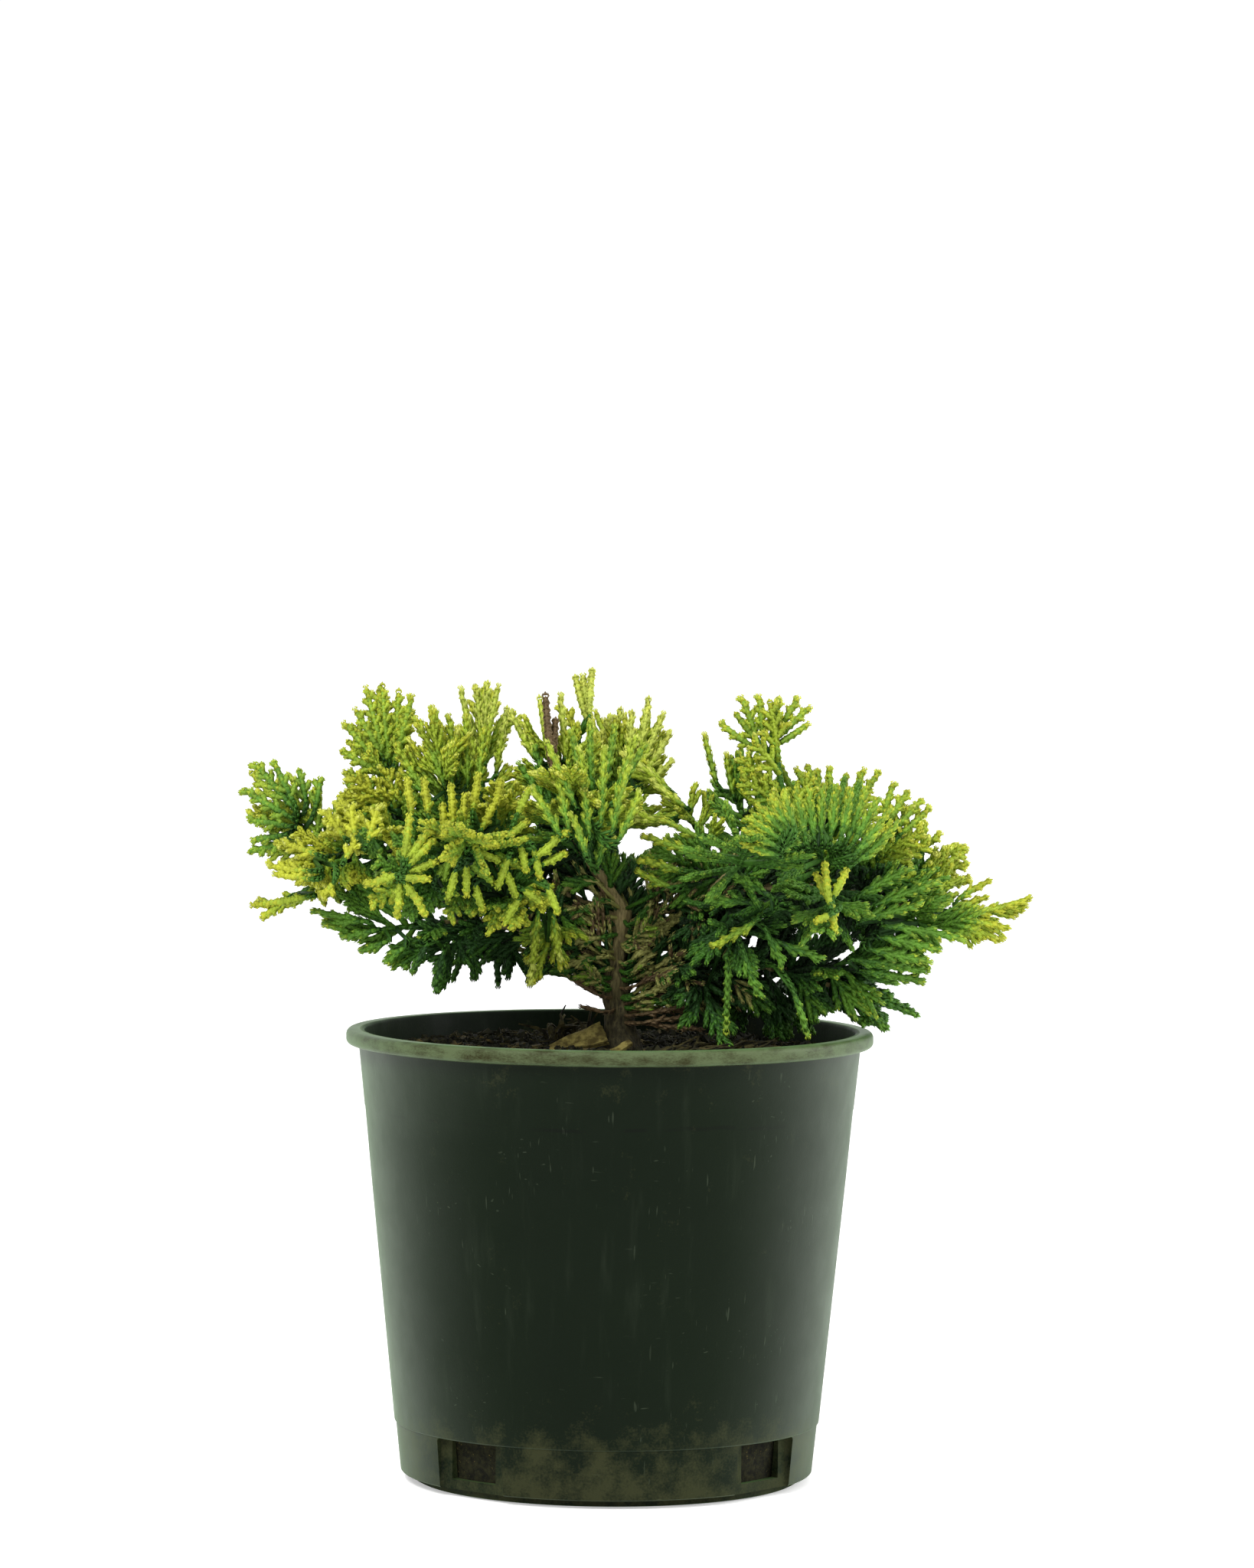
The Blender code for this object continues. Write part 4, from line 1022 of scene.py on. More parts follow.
class Fan:
    """The room and the axes of one mass: a stem that arches from its limb to its furthest tip."""

    def __init__(self, mass):
        self.mass = mass
        self.tip = Vector([x / 1000 for x in mass.tip])
        self.arch = mass.arch / 1000
        self.foot = lines[mass.limb].at(mass.station)[0]
        chord = self.tip - self.foot
        self.reach = chord.length
        self.along = chord.normalized()
        self.side = self.along.cross(Vector(mass.looks)).normalized()
        self.face = self.side.cross(self.along)
        self.top = self.foot.lerp(self.tip, 0.5) + Vector((0, 0, 2 * self.arch))
        self.centre = self.foot.lerp(self.tip, 1 - ROOM_SHARE)
        self.halves = (ROOM_SHARE * self.reach, mass.spread / 1000, mass.depth / 1000)

    def arc(self, share):
        """A point on the arch that the stem follows, 0 at the limb to 1 at the furthest tip."""
        return self.foot.lerp(self.top, share).lerp(self.top.lerp(self.tip, share), share)

    def in_halves(self, vector):
        """The vector along the fan's three axes, each in its half axis of the ellipsoid."""
        axes = (self.along, self.side, self.face)
        return [vector.dot(axis) / half for axis, half in zip(axes, self.halves)]

    def room_along(self, start, way):
        """How far a twig from the stem can run before it leaves the mass's ellipsoid."""
        share = (start - self.foot).dot(self.along) / self.reach
        arch = Vector((0, 0, 4 * self.arch * share * (1 - share)))
        offset = self.in_halves(start - arch - self.centre)
        step = self.in_halves(way)
        square = sum(s * s for s in step)
        mixed = sum(o * s for o, s in zip(offset, step))
        rest = sum(o * o for o in offset) - 1
        return (math.sqrt(max(0.0, mixed * mixed - square * rest)) - mixed) / square


fans = [Fan(mass) for mass in MASSES]
print("reaches in mm:", [round(1000 * fan.reach) for fan in fans])

# %% [markdown]
# ### Open sky and outline
# The photograph shows small patches of sky through the crown, and the crown ends in a lively outline. Both
# are measured on the upright plane through the pot's axis, in millimetres. A shoot that would cover a
# patch, as seen from the camera, is left out, and one that would pass the outline is cut back, as growth
# that never happened. The same goes for shoots before the bare wood. All of it is raised by 2.2 mm, because
# the crown meets the rim that much higher in the picture.

# %% Sky and outline
SKY = (
    (7.5, 226.5, 7, 3.2), (14.5, 243.2, 3.2, 2.6), (23, 233.2, 3.8, 2.8), (31, 241, 2.6, 1.6),
    (5.5, 247.5, 1.6, 1.2), (-9, 208, 3.3, 3.2), (-15.5, 206.5, 1.8, 3), (11, 213.6, 2.4, 1.8),
    (20.5, 212.2, 1.2, 1.4), (20, 197.5, 2, 1.4), (-23.5, 229.3, 1.7, 1.6), (-28.5, 234.2, 1, 1.6),
    (-38, 195.4, 1.6, 1.6), (-42.5, 190, 1.2, 0.8), (52.2, 192.2, 2.4, 2.4), (69.5, 186.2, 3.2, 1.2),
    (15, 182, 1.4, 1.6), (9, 178.5, 0.9, 1.8), (108.5, 236, 1.6, 2), (-35, 262.5, 2.2, 8.5),
    (-33.5, 254, 1.4, 3.4), (-43.8, 259.5, 1.7, 5.5), (-70.5, 256, 1, 2.4), (-86, 255.4, 1.6, 0.9),
    (-81.8, 255, 1.8, 1.3), (-24, 184, 1.4, 1.6), (123, 211.5, 3.4, 1.6), (109.5, 198.2, 3.6, 0.9),
)
OUTLINE = (
    (-2, 174), (-8, 174), (-14, 178), (-20, 180.5), (-26, 177), (-29, 174), (-31, 180), (-31.5, 184.5),
    (-34, 184), (-37, 177), (-40.5, 173), (-41, 180), (-40, 184.5), (-43, 183), (-47, 185), (-46, 179),
    (-49.5, 176), (-51, 181), (-54, 183), (-55, 180), (-58, 175), (-60, 173), (-63.5, 171.5), (-64.5, 179),
    (-66, 184.5), (-69, 183), (-71.5, 178.5), (-74, 181), (-78, 180), (-82, 183), (-88, 187), (-94, 188),
    (-93, 190.5), (-97, 192), (-100, 195.5), (-104, 196), (-105, 199), (-109, 201.5), (-101, 205.5),
    (-110, 204.5), (-116, 202.5), (-120, 199.5), (-124, 197), (-127, 198.5), (-126, 202), (-131, 204.5),
    (-129, 208), (-125, 206.5), (-121, 204.5), (-120, 208), (-112, 209), (-114.5, 211.5), (-116, 214),
    (-121, 215.5), (-119, 219), (-122, 219), (-127, 216.5), (-130.5, 219), (-128, 222), (-132.5, 222.5),
    (-129, 225.5), (-130, 227.5), (-127, 228.5), (-122, 226.5), (-121, 229), (-126, 229.5), (-132, 230.5),
    (-128, 232), (-133, 234), (-132, 236), (-133.5, 238.5), (-130.5, 241.5), (-126, 241), (-128, 243),
    (-134.5, 243.5), (-134.5, 247), (-129, 246.5), (-130.5, 249.5), (-128, 250), (-132.5, 252.5),
    (-131, 254), (-131.5, 257), (-128.5, 258), (-127, 254), (-125, 257.5), (-124, 253), (-122.5, 257),
    (-120.5, 255.5), (-121, 250), (-119, 249.5), (-118.5, 253), (-115.5, 254), (-115.5, 250.5),
    (-113, 252.5), (-112.5, 248.5), (-111.5, 251.5), (-109, 250.5), (-107, 252.5), (-105.5, 250),
    (-102.5, 249.5), (-104.5, 245), (-104, 241), (-104.5, 237.5), (-101, 239.5), (-100, 242), (-100, 246),
    (-97, 246), (-95.5, 247), (-97.5, 249), (-96, 252), (-97.5, 253), (-94, 254), (-95, 256), (-98, 256.5),
    (-96, 258), (-99, 259), (-98, 261), (-95.5, 260.5), (-96.5, 263.5), (-93.5, 263.5), (-92, 267),
    (-97.5, 267), (-97, 271), (-95, 273), (-91, 270.5), (-90, 272), (-94, 274.5), (-93, 276), (-89, 274),
    (-92.5, 278.5), (-91.5, 280), (-87, 277), (-90, 282.5), (-88, 284), (-85.5, 279.5), (-85, 282.5),
    (-82.5, 285), (-82.5, 280.5), (-81, 283), (-79, 283.5), (-79.5, 278.5), (-78, 280), (-77, 282.5),
    (-75, 281), (-75.5, 277.5), (-73, 281.5), (-71, 280), (-73, 277), (-70, 273.5), (-68, 271),
    (-66, 270.5), (-67, 276), (-63.5, 276.5), (-63, 271.5), (-61, 270.5), (-60, 273.5), (-58, 271),
    (-55.5, 268.5), (-54.5, 273), (-53, 272), (-52.5, 275), (-56, 282), (-54, 284), (-51, 277.5),
    (-50.5, 278), (-50.5, 284.5), (-48, 282), (-47, 285), (-44.5, 285), (-43.5, 283), (-42, 285),
    (-41.5, 282), (-43, 279), (-42, 277.5), (-40, 279.5), (-39, 273), (-38, 275.5), (-36, 275.5),
    (-33.5, 274), (-31, 272.5), (-29, 268), (-26, 263), (-23, 260), (-24.5, 270), (-26, 280), (-24.5, 282),
    (-23.5, 280), (-23, 273), (-21.5, 266), (-21, 272), (-20, 272), (-19.5, 266), (-19.8, 260), (-18, 266),
    (-19.5, 272), (-21.5, 279), (-20, 281.5), (-17, 281), (-15, 279.5), (-13, 273), (-11, 266),
    (-10.5, 261), (-9.5, 265), (-8.5, 265), (-8.5, 272), (-10, 280), (-12, 284.5), (-16, 286.5), (-15, 289),
    (-12, 288), (-11.5, 291), (-7, 291.5), (-6, 287), (-7, 283), (-5.7, 276), (-5, 271.5), (-5, 275),
    (-2.5, 273.5), (-1, 274), (1, 273), (3, 276.5), (4, 278), (5, 274), (8, 275.5), (10, 275),
    (11.5, 277.5), (13.5, 281), (13, 276.5), (14.5, 276.5), (14, 272), (17, 275), (19, 275), (17.5, 271),
    (21.5, 270), (21, 266), (18, 261), (22.5, 260.5), (22, 256.5), (19, 256), (21.5, 253.5), (17.5, 251.5),
    (18.5, 249), (20, 247.5), (25, 244.5), (28, 245.5), (30, 249.5), (34.5, 247), (36, 249), (34.5, 255),
    (33, 262), (31, 266.5), (33, 268.5), (35.5, 262.5), (38, 257), (39.5, 252.5), (41.5, 246), (43, 244),
    (44, 247), (42, 253), (40.5, 258.5), (43, 260.5), (45, 257.5), (44.5, 260.5), (42, 262), (37.5, 263.5),
    (37, 265.5), (40, 266.5), (38, 271), (40, 272), (42.5, 267), (46, 268.5), (49, 269), (46.5, 272.5),
    (42.5, 274), (43, 275.5), (46.5, 274.5), (44.5, 280), (46.5, 281), (49, 277.5), (51, 281.5),
    (53.5, 281.5), (54.5, 276), (56.5, 280.5), (59, 280), (61, 281), (64, 280), (65, 278), (66, 281),
    (67.5, 280), (67.5, 276), (70, 278), (72, 276.5), (69, 273.5), (71.5, 271), (68, 269.5), (63, 269),
    (60.5, 266), (58.5, 261), (57.5, 256), (57.5, 251), (59, 256), (60.5, 257.5), (61, 252), (62.5, 251.5),
    (64, 247), (65, 249), (65.5, 253.5), (67, 255.5), (69, 253.5), (70, 256.5), (71, 253), (74, 255),
    (74, 249.5), (76, 249), (77, 252), (79, 256), (78.5, 249.5), (82, 249), (83, 253), (85, 253),
    (85.5, 248), (88, 247.5), (88.5, 253), (91, 255.5), (91.5, 251), (94, 254.5), (97, 254.5), (93, 249.5),
    (96, 250), (98, 247.5), (94, 244.5), (99.5, 244.5), (101, 249), (102.5, 251), (103, 247.5), (106, 247),
    (106.5, 244.5), (108, 246), (109, 243), (112, 244), (113, 241.5), (115.5, 242.5), (113.5, 238),
    (113.5, 231.5), (118, 233), (119, 230.5), (122, 231), (123, 229), (128, 228), (130, 225.5),
    (128, 221.5), (130.5, 219.5), (130, 213.5), (134, 213), (137.5, 216), (136.5, 213.5), (133.5, 210),
    (131, 206.5), (135, 206), (137, 211), (137.5, 208), (139, 207.5), (142, 204.5), (146, 207),
    (150.5, 210), (152.5, 208), (151, 205), (147, 201.5), (141, 201), (139.5, 199), (144.5, 197.5),
    (140.5, 195.5), (143, 193), (137, 192), (132, 192), (133.5, 188), (130, 190), (127, 193), (120, 192),
    (119, 189.5), (112, 188), (116.5, 185.5), (112, 184.5), (115.5, 182), (108, 181), (101, 183),
    (100, 181), (106, 180.5), (114, 179.5), (113.5, 177), (104, 177), (96, 177.5), (97, 175),
    (101.5, 175.5), (102, 172), (104, 171), (107.5, 170.5), (112, 165), (107, 166.5), (103, 168), (97, 170),
    (101.5, 163.5), (99.5, 159.5), (96.5, 161), (94, 162.5), (91.5, 161), (87, 164.5), (83.5, 167),
    (77, 165), (75, 163), (75, 158), (74, 154), (71, 153.5), (69, 157), (40, 153), (3, 152),
)
RAISED = 2.2
NEXT_POINTS = OUTLINE[1:] + OUTLINE[:1]
EDGES = np.array([(*first, *second) for first, second in zip(OUTLINE, NEXT_POINTS)], dtype=float)
print("patches of sky:", len(SKY), "points on the outline:", len(OUTLINE))

# %% [markdown]
# ### Room for a shoot
# The line from the camera through a point meets the plane where the point is seen. There it is tested
# against the sky, the outline and the bare wood. The pot and the mix are tested in space.

# %% Tests of a place
def seen_at(point):
    """Where a point is seen on the upright plane through the pot's axis, across and up, in millimetres."""
    part = EYE.y / (EYE.y - point.y)
    across, up = (eye + (x - eye) * part for eye, x in ((EYE.x, point.x), (EYE.z, point.z)))
    return 1000 * across, 1000 * up - RAISED


def unseen(across, depth, up):
    """The point that is seen at that place on the plane, at a depth behind it, all in millimetres."""
    part = 1 - 0.001 * depth / EYE.y
    x, z = 0.001 * across, 0.001 * (up + RAISED)
    return Vector((EYE.x + (x - EYE.x) * part, 0.001 * depth, EYE.z + (z - EYE.z) * part))


BARE_WOOD = (
    (3, 158, 2.6, 184, 4.6), (2.6, 184, 4.5, 204, 3.4), (4, 205, -6.5, 220, 2.2), (7, 203, 24, 208.5, 1.8),
)
WOOD_FRONT = -0.002


def hides_wood(point, across, up):
    """Whether a point stands before the bare wood of the trunk, the leader or the foot of the right bough."""
    if point.y > WOOD_FRONT:
        return False
    for x0, z0, x1, z1, width in BARE_WOOD:
        way = Vector((x1 - x0, z1 - z0))
        share = min(1.0, max(0.0, Vector((across - x0, up - z0)).dot(way) / way.length_squared))
        if math.hypot(across - x0 - share * way.x, up - z0 - share * way.y) < width:
            return True
    return False


def in_outline(across, up):
    """Whether a place is in the crown: a ray to the right crosses its outline an odd number of times."""
    x0, z0, x1, z1 = EDGES.T
    crosses = (z0 > up) != (z1 > up)
    reach = x0 + (up - z0) * (x1 - x0) / np.where(z1 == z0, 1.0, z1 - z0)
    return int((crosses & (reach > across)).sum()) % 2 == 1


def in_oval(across, up, x, z, wide, high):
    """Whether a place on the plane is inside the oval about (x, z)."""
    return ((across - x) / wide) ** 2 + ((up - z) / high) ** 2 < 1


CLEAR_OF_POT = 0.0015
CLEAR_INSIDE = 0.0018


def in_pot(point):
    """Whether a point is in or under the pot's wall, its rim or the mix."""
    out = math.hypot(point.x, point.y)
    if point.z > POT_HEIGHT + CLEAR_OF_POT or out > RIM_RADIUS + CLEAR_OF_POT:
        return False
    return out > mouth - CLEAR_INSIDE or point.z < SOIL_TOP + CLEAR_INSIDE


def blocked(*points):
    """Whether any of the points covers open sky or bare wood, passes the outline or runs into the pot."""
    for point in points:
        across, up = seen_at(point)
        if any(in_oval(across, up, *patch) for patch in SKY):
            return True
        if in_pot(point) or not in_outline(across, up) or hides_wood(point, across, up):
            return True
    return False


print("room at the tips of the masses:", sum(not blocked(fan.tip) for fan in fans))

# %% [markdown]
# ## Shoots
# A shoot of scale leaves is a slim core under pairs of small keeled leaves, each pair set across the
# one before. The habit gives its sizes and angles, in metres and degrees. A ramp lists tones from the
# oldest leaves and those in painted shade, the darkest, to the freshest ones in the light.

# %% Habits and tones
Habit = namedtuple("Habit", "radius pair_gap leaf_length lift side_gap side_length side_angle fork")
HABITS = {
    "finger": Habit(0.00128, 0.00128, 0.0025, 0.60, 0.0025, 0.0070, 50, 0.0066),
    "arm": Habit(0.00146, 0.00130, 0.0026, 0.60, 0.0044, 0.0060, 48, 0.0200),
    "plume": Habit(0.00116, 0.00145, 0.0032, 0.84, 0.0027, 0.0125, 25, 0.0115),
    "dome": Habit(0.00108, 0.00150, 0.0027, 0.76, 0.0020, 0.0095, 17, 0.0200),
    "tassel": Habit(0.00116, 0.00155, 0.0037, 1.12, 0.0030, 0.0085, 24, 0.0200),
    "scrub": Habit(0.00085, 0.00160, 0.0034, 1.25, 0.0032, 0.0120, 28, 0.0200),
}
TONES = {
    "gold_tip": (192, 198, 84),
    "gold": (170, 176, 46),
    "lime": (150, 170, 46),
    "pale": (178, 190, 80),
    "fresh": (120, 152, 44),
    "mid": (88, 132, 38),
    "green": (60, 104, 30),
    "deep": (38, 74, 26),
    "dark": (24, 46, 18),
    "olive": (148, 148, 82),
    "dead": (102, 84, 56),
}
TONE_NAMES = list(TONES)
RAMPS = {
    "gold": ("green", "mid", "fresh", "lime", "gold", "gold", "gold", "gold_tip"),
    "lime": ("green", "mid", "fresh", "fresh", "lime", "lime", "gold", "gold_tip"),
    "star": ("mid", "fresh", "fresh", "lime", "lime", "lime", "gold", "gold"),
    "moss": ("olive", "green", "olive", "fresh", "olive", "lime"),
    "green": ("deep", "green", "green", "mid", "mid", "mid", "fresh", "lime"),
    "deep": ("dark", "deep", "deep", "deep", "green", "green", "mid"),
    "pale": ("mid", "fresh", "lime", "lime", "pale", "pale", "gold_tip", "gold_tip"),
    "fringe": ("green", "green", "mid", "mid", "fresh", "lime", "gold", "gold"),
    "shade": ("dark", "deep", "green", "green", "mid", "mid", "fresh"),
    "olive": ("deep", "olive", "dead", "olive", "green", "olive", "olive", "fresh"),
    "knob": ("dark", "deep", "green", "mid", "fresh", "lime", "gold", "gold"),
    "dead": ("dead", "dead"),
}
RAMP_NAMES = list(RAMPS)
print("habits:", list(HABITS), "tones:", len(TONES))

# %% [markdown]
# ### Leaves
# A leaf is a closed wedge of four faces: two outer faces that meet in a keel, a back and a heel. Every leaf
# of the crown is one row of numbers in a table, and the table becomes meshes at the end, one finish each. A
# growth holds what the shoots of one spray share: a habit, a ramp of tones, the random draws, and the
# number of the mass.

# %% Leaves on a shoot
Growth = namedtuple("Growth", "habit ramp draw owner")
PLACE, WAY, OUT = slice(0, 3), slice(3, 6), slice(6, 9)
RADIUS, LENGTH, LIFT, FRESH, KIND, OWNER, SHOOT = range(9, 16)
CORE_SHARE = 0.90
leaf_rows = []
cores = []


def bezier(start, bend, end, shares):
    """Points and directions on a quadratic curve."""
    start, bend, end = (np.array(point) for point in (start, bend, end))
    s = np.asarray(shares)[:, None]
    points = (1 - s) ** 2 * start + 2 * s * (1 - s) * bend + s**2 * end
    ways = 2 * (1 - s) * (bend - start) + 2 * s * (end - bend)
    return points, ways / np.linalg.norm(ways, axis=1)[:, None]


def clothe(start, bend, end, growth, fresh_foot, fresh_tip, side, bare=0.0, stout=1.0, pointed=False):
    """Covers a curved shoot with pairs of leaves, and gives it a core, which may start in a point."""
    habit = growth.habit
    length = (end - start).length
    radius = habit.radius * stout
    pairs = max(2, round(length * (1 - bare) / habit.pair_gap))
    shares = bare + (1 - bare) * (np.arange(pairs) + 0.3) / pairs
    points, ways = bezier(start, bend, end, shares)
    first = np.array(side) - ways * (ways @ np.array(side))[:, None]
    first /= np.linalg.norm(first, axis=1)[:, None]
    second = np.cross(ways, first)
    odd = (np.arange(pairs) % 2)[:, None]
    out = np.where(odd, second, first)
    taper = 1.0 - 0.18 * shares**3
    size = radius * taper * (np.clip(0.5 + 4.0 * shares, 0.5, 1.0) if pointed else 1.0)
    left = length * (1 - shares) + 0.25 * habit.leaf_length
    long = np.minimum(habit.leaf_length * (0.75 + 0.25 * taper), left)
    freshness = fresh_foot + (fresh_tip - fresh_foot) * shares
    kind = RAMP_NAMES.index(growth.ramp)
    numbers = [np.full(pairs, number) for number in (kind, growth.owner, len(cores))]
    close_to_end = np.where(left < 0.7 * habit.leaf_length, 0.35, 1.0)
    for hand in (1.0, -1.0):
        lift = habit.lift * (0.9 + 0.2 * growth.draw.random()) * close_to_end
        leaf_rows.append(np.column_stack([points, ways, hand * out, size, long, lift, freshness, *numbers]))
    core_shares = (0.0, 0.15, 0.5, 0.95) if pointed else (0.0, 0.5, 0.95)
    widths = (0.25, 0.9, 1.0, 0.75) if pointed else (1.0, 1.0, 0.75)
    core_points, _ = bezier(start, bend, end, core_shares)
    shape = rod_shape(core_points, np.array(widths) * CORE_SHARE * radius, 5)
    cores.append((shape, 0.5 * (fresh_foot + fresh_tip) - 0.10, kind))


print("columns of the table of leaves:", SHOOT + 1)

# %% [markdown]
# ## Sprays
# A spray is a curved axis with shorter shoots along both its sides, all nearly in one plane like a fern.
# The longer ones fork once more. Tips are fresh and golden, and feet are older and darker, so freshness
# rises along the stem, the spray and the shoot.

# %% A spray
SHORTEST_SPRAY = 0.005


def side_shoots(start, bend, end, growth, fresh, side, first, most=1.0, small=1.0):
    """Shoots along both sides of an axis, from its first share on. They get shorter towards its end."""
    habit, draw = growth.habit, growth.draw
    length = (end - start).length
    count = max(2, round(length * (1 - first) / (habit.side_gap * small)))
    shares = first + (0.95 - first) * (np.arange(count) + 0.5) / count
    points, ways = bezier(start, bend, end, shares)
    hand = draw.choice((-1, 1))
    for share, point, ahead in zip(shares, points, ways):
        hand = -hand
        root, ahead = Vector(point), Vector(ahead)
        across = (side - ahead * side.dot(ahead)).normalized()
        up = ahead.cross(across)
        reach = min(most, habit.side_length) * (1.1 - 0.6 * share) * draw.uniform(0.88, 1.08)
        reach = min(reach, 0.62 * length)
        angle = math.radians(habit.side_angle * (1.08 - 0.35 * share) + draw.uniform(-5, 5))
        tilt = draw.uniform(-0.22, 0.22)
        sideways = (hand * math.cos(tilt) * across + math.sin(tilt) * up).normalized()
        way = math.cos(angle) * ahead + math.sin(angle) * sideways
        for cut in (1.0, 0.72, 0.5):
            tip = root + (way + 0.16 * ahead) * reach * cut
            middle = root + way * 0.55 * reach * cut
            if not blocked(tip, middle):
                break
        else:
            continue
        own = fresh + 0.30 * share + draw.uniform(-0.05, 0.05)
        clothe(root, middle, tip, growth, own, own + 0.50, up, stout=0.92 * math.sqrt(small))
        if small == 1.0 and (tip - root).length > habit.fork:
            side_shoots(root, middle, tip, growth, own + 0.1, up.cross(way), 0.50, 0.0032, 0.85)


def spray(start, way, side, length, growth, fresh, bare=0.0):
    """A spray that starts in a way and bends a little, cut back where it must be. Says if it had room."""
    draw = growth.draw
    up = way.cross(side).normalized()
    lean = side * draw.uniform(-0.12, 0.12) + up * draw.uniform(-0.10, 0.10)
    for cut in (1.0, 0.82, 0.64, 0.48):
        reach = length * cut
        if reach < SHORTEST_SPRAY:
            return False
        bend = start + (way + lean) * 0.5 * reach
        end = start + way * reach + Vector((0, 0, draw.uniform(-0.02, 0.06) * reach))
        if not blocked(start.lerp(end, 0.55), start.lerp(end, 0.8), end):
            clothe(start, bend, end, growth, fresh, fresh + 0.62, side, bare=bare, stout=1.05)
            side_shoots(start, bend, end, growth, fresh, side, max(0.12, bare))
            return True
    return False


print("spray rule ready")

# %% [markdown]
# ## Growing the crown
# Along every stem twigs leave in turn to the left and the right. Two of three lie nearly in the plane of
# the fan, which gives the flat, fern-like look, and the third is tilted out of it and fills the depth. Each
# runs as far as its mass has room, and the mass's name seeds the draws.

# %% Sprays of every mass
Zone = namedtuple("Zone", "across up wide high front tone")
ZONES = (
    Zone(-75, 214, 16, 17, -30, "shade"),
    Zone(-38, 221, 27, 18, -20, "knob"),
    Zone(76, 231, 30, 18, -20, "shade"),
    Zone(72, 204, 34, 14, -10, "shade"),
)


def tone_at(place, tone):
    """The tone that a spray takes at a place: its mass's own, or a duller one in some zones in front."""
    across, up = seen_at(place)
    for zone in ZONES:
        if 1000 * place.y < zone.front and in_oval(across, up, *zone[:4]):
            return zone.tone
    return tone


TWIG_GAP = 0.0050
LAST_SPRAY = 0.022
stem_heap = Heap("stems_of_sprays")
stems = {}
grown = 0
for owner, fan in enumerate(fans):
    name, tone, habit = fan.mass.name, fan.mass.tone, HABITS[fan.mass.habit]
    last_length = min(LAST_SPRAY, 0.6 * fan.reach)
    end_share = 1 - last_length / fan.reach
    stem_points = [fan.arc(end_share * n / 7) for n in range(8)]
    stem = Line(name, stem_points, np.linspace(0.00095, 0.0006, 8).tolist())
    stems[name] = stem
    stem_heap.add(*rod_shape([tuple(point) for point in stem_points], stem.radii, 5))
    draw = random.Random(name)
    for n in (1, 3, 5):
        clothe(*stem_points[n:n + 3], Growth(habit, "shade", draw, owner), 0.1, 0.4, fan.side)
    count = max(6, round(fan.reach / TWIG_GAP))
    for number in range(count):
        share = FIRST_TWIG + (1 - FIRST_TWIG) * (number + 0.5) / count
        start, ahead, _ = stem.at(share)
        hand = 1 if number % 2 else -1
        angle = math.radians(66 - 34 * share + draw.uniform(-6, 6))
        tilt = draw.uniform(-16, 16) if number % 3 else draw.choice((-1, 1)) * draw.uniform(35, 75)
        tilt = math.radians(tilt)
        across = (hand * math.cos(tilt) * fan.side + math.sin(tilt) * fan.face).normalized()
        way = (math.cos(angle) * ahead + math.sin(angle) * across).normalized()
        twist = Quaternion(way, math.radians(draw.uniform(-15, 15)))
        side = twist @ (across - way * across.dot(way)).normalized()
        room = fan.room_along(start, way) * draw.uniform(0.85, 1.0)
        bare = min(0.4, max(0.0, (room - 0.020) / room)) if room > 0 else 0.0
        fresh = 0.04 + 0.22 * share + draw.uniform(-0.05, 0.05)
        growth = Growth(habit, tone_at(start + 0.7 * room * way, tone), draw, owner)
        grown += spray(start, way, side, room, growth, fresh, bare)
    last = fan.tip - stem_points[-1]
    spray(stem_points[-1], last.normalized(), fan.side, last.length, Growth(habit, tone, draw, owner), 0.22)
print("sprays:", grown, "rows of leaves:", sum(len(rows) for rows in leaf_rows))

# %% [markdown]
# ### Inner scrub
# Round the trunk and the feet of the boughs, old olive shoots fill the shade, thinner and looser than the
# rest. Further out, short green sprays grow from the limbs themselves.

# %% Sprays on the limbs
Scrub = namedtuple("Scrub", "limb low high count shortest longest tone habit")
SCRUBS = (
    Scrub("trunk", 0.36, 0.98, 44, 0.012, 0.026, "olive", "scrub"),
    Scrub("bough_leader", 0.05, 0.95, 22, 0.010, 0.022, "shade", "plume"),
    Scrub("bough_centre", 0.10, 1.0, 16, 0.010, 0.020, "shade", "plume"),
    Scrub("bough_back", 0.15, 1.0, 14, 0.012, 0.022, "shade", "plume"),
    Scrub("bough_left", 0.04, 0.45, 26, 0.010, 0.020, "olive", "scrub"),
    Scrub("bough_left", 0.25, 0.95, 22, 0.012, 0.020, "shade", "plume"),
    Scrub("bough_left_low", 0.10, 1.0, 24, 0.012, 0.022, "deep", "plume"),
    Scrub("bough_right", 0.04, 0.40, 30, 0.012, 0.024, "olive", "scrub"),
    Scrub("bough_right", 0.25, 1.0, 34, 0.012, 0.024, "shade", "plume"),
    Scrub("bough_right_low", 0.05, 0.5, 26, 0.012, 0.024, "olive", "scrub"),
    Scrub("bough_right_low", 0.30, 1.0, 34, 0.012, 0.026, "deep", "plume"),
    Scrub("bough_left_back", 0.20, 1.0, 10, 0.012, 0.020, "shade", "plume"),
    Scrub("bough_right_back", 0.20, 1.0, 10, 0.012, 0.020, "shade", "plume"),
)
LIMB_OWNER = len(MASSES)
filled = 0
for scrub in SCRUBS:
    draw = random.Random(f"{scrub.limb} {scrub.tone}")
    line = lines[scrub.limb]
    for number in range(scrub.count):
        station = scrub.low + (scrub.high - scrub.low) * (number + 0.5) / scrub.count
        start, ahead, _ = line.at(station)
        across = Quaternion(ahead, 2.4 * number + draw.uniform(-0.4, 0.4)) @ ahead.orthogonal().normalized()
        angle = math.radians(draw.uniform(38, 72))
        way = (math.cos(angle) * ahead + math.sin(angle) * across).normalized()
        side = way.cross(Vector((0.1, -1.0, 0.2))).normalized()
        length = draw.uniform(scrub.shortest, scrub.longest)
        fresh = draw.uniform(0.1, 0.50)
        growth = Growth(HABITS[scrub.habit], scrub.tone, draw, LIMB_OWNER)
        filled += spray(start, way, side, length, growth, fresh)
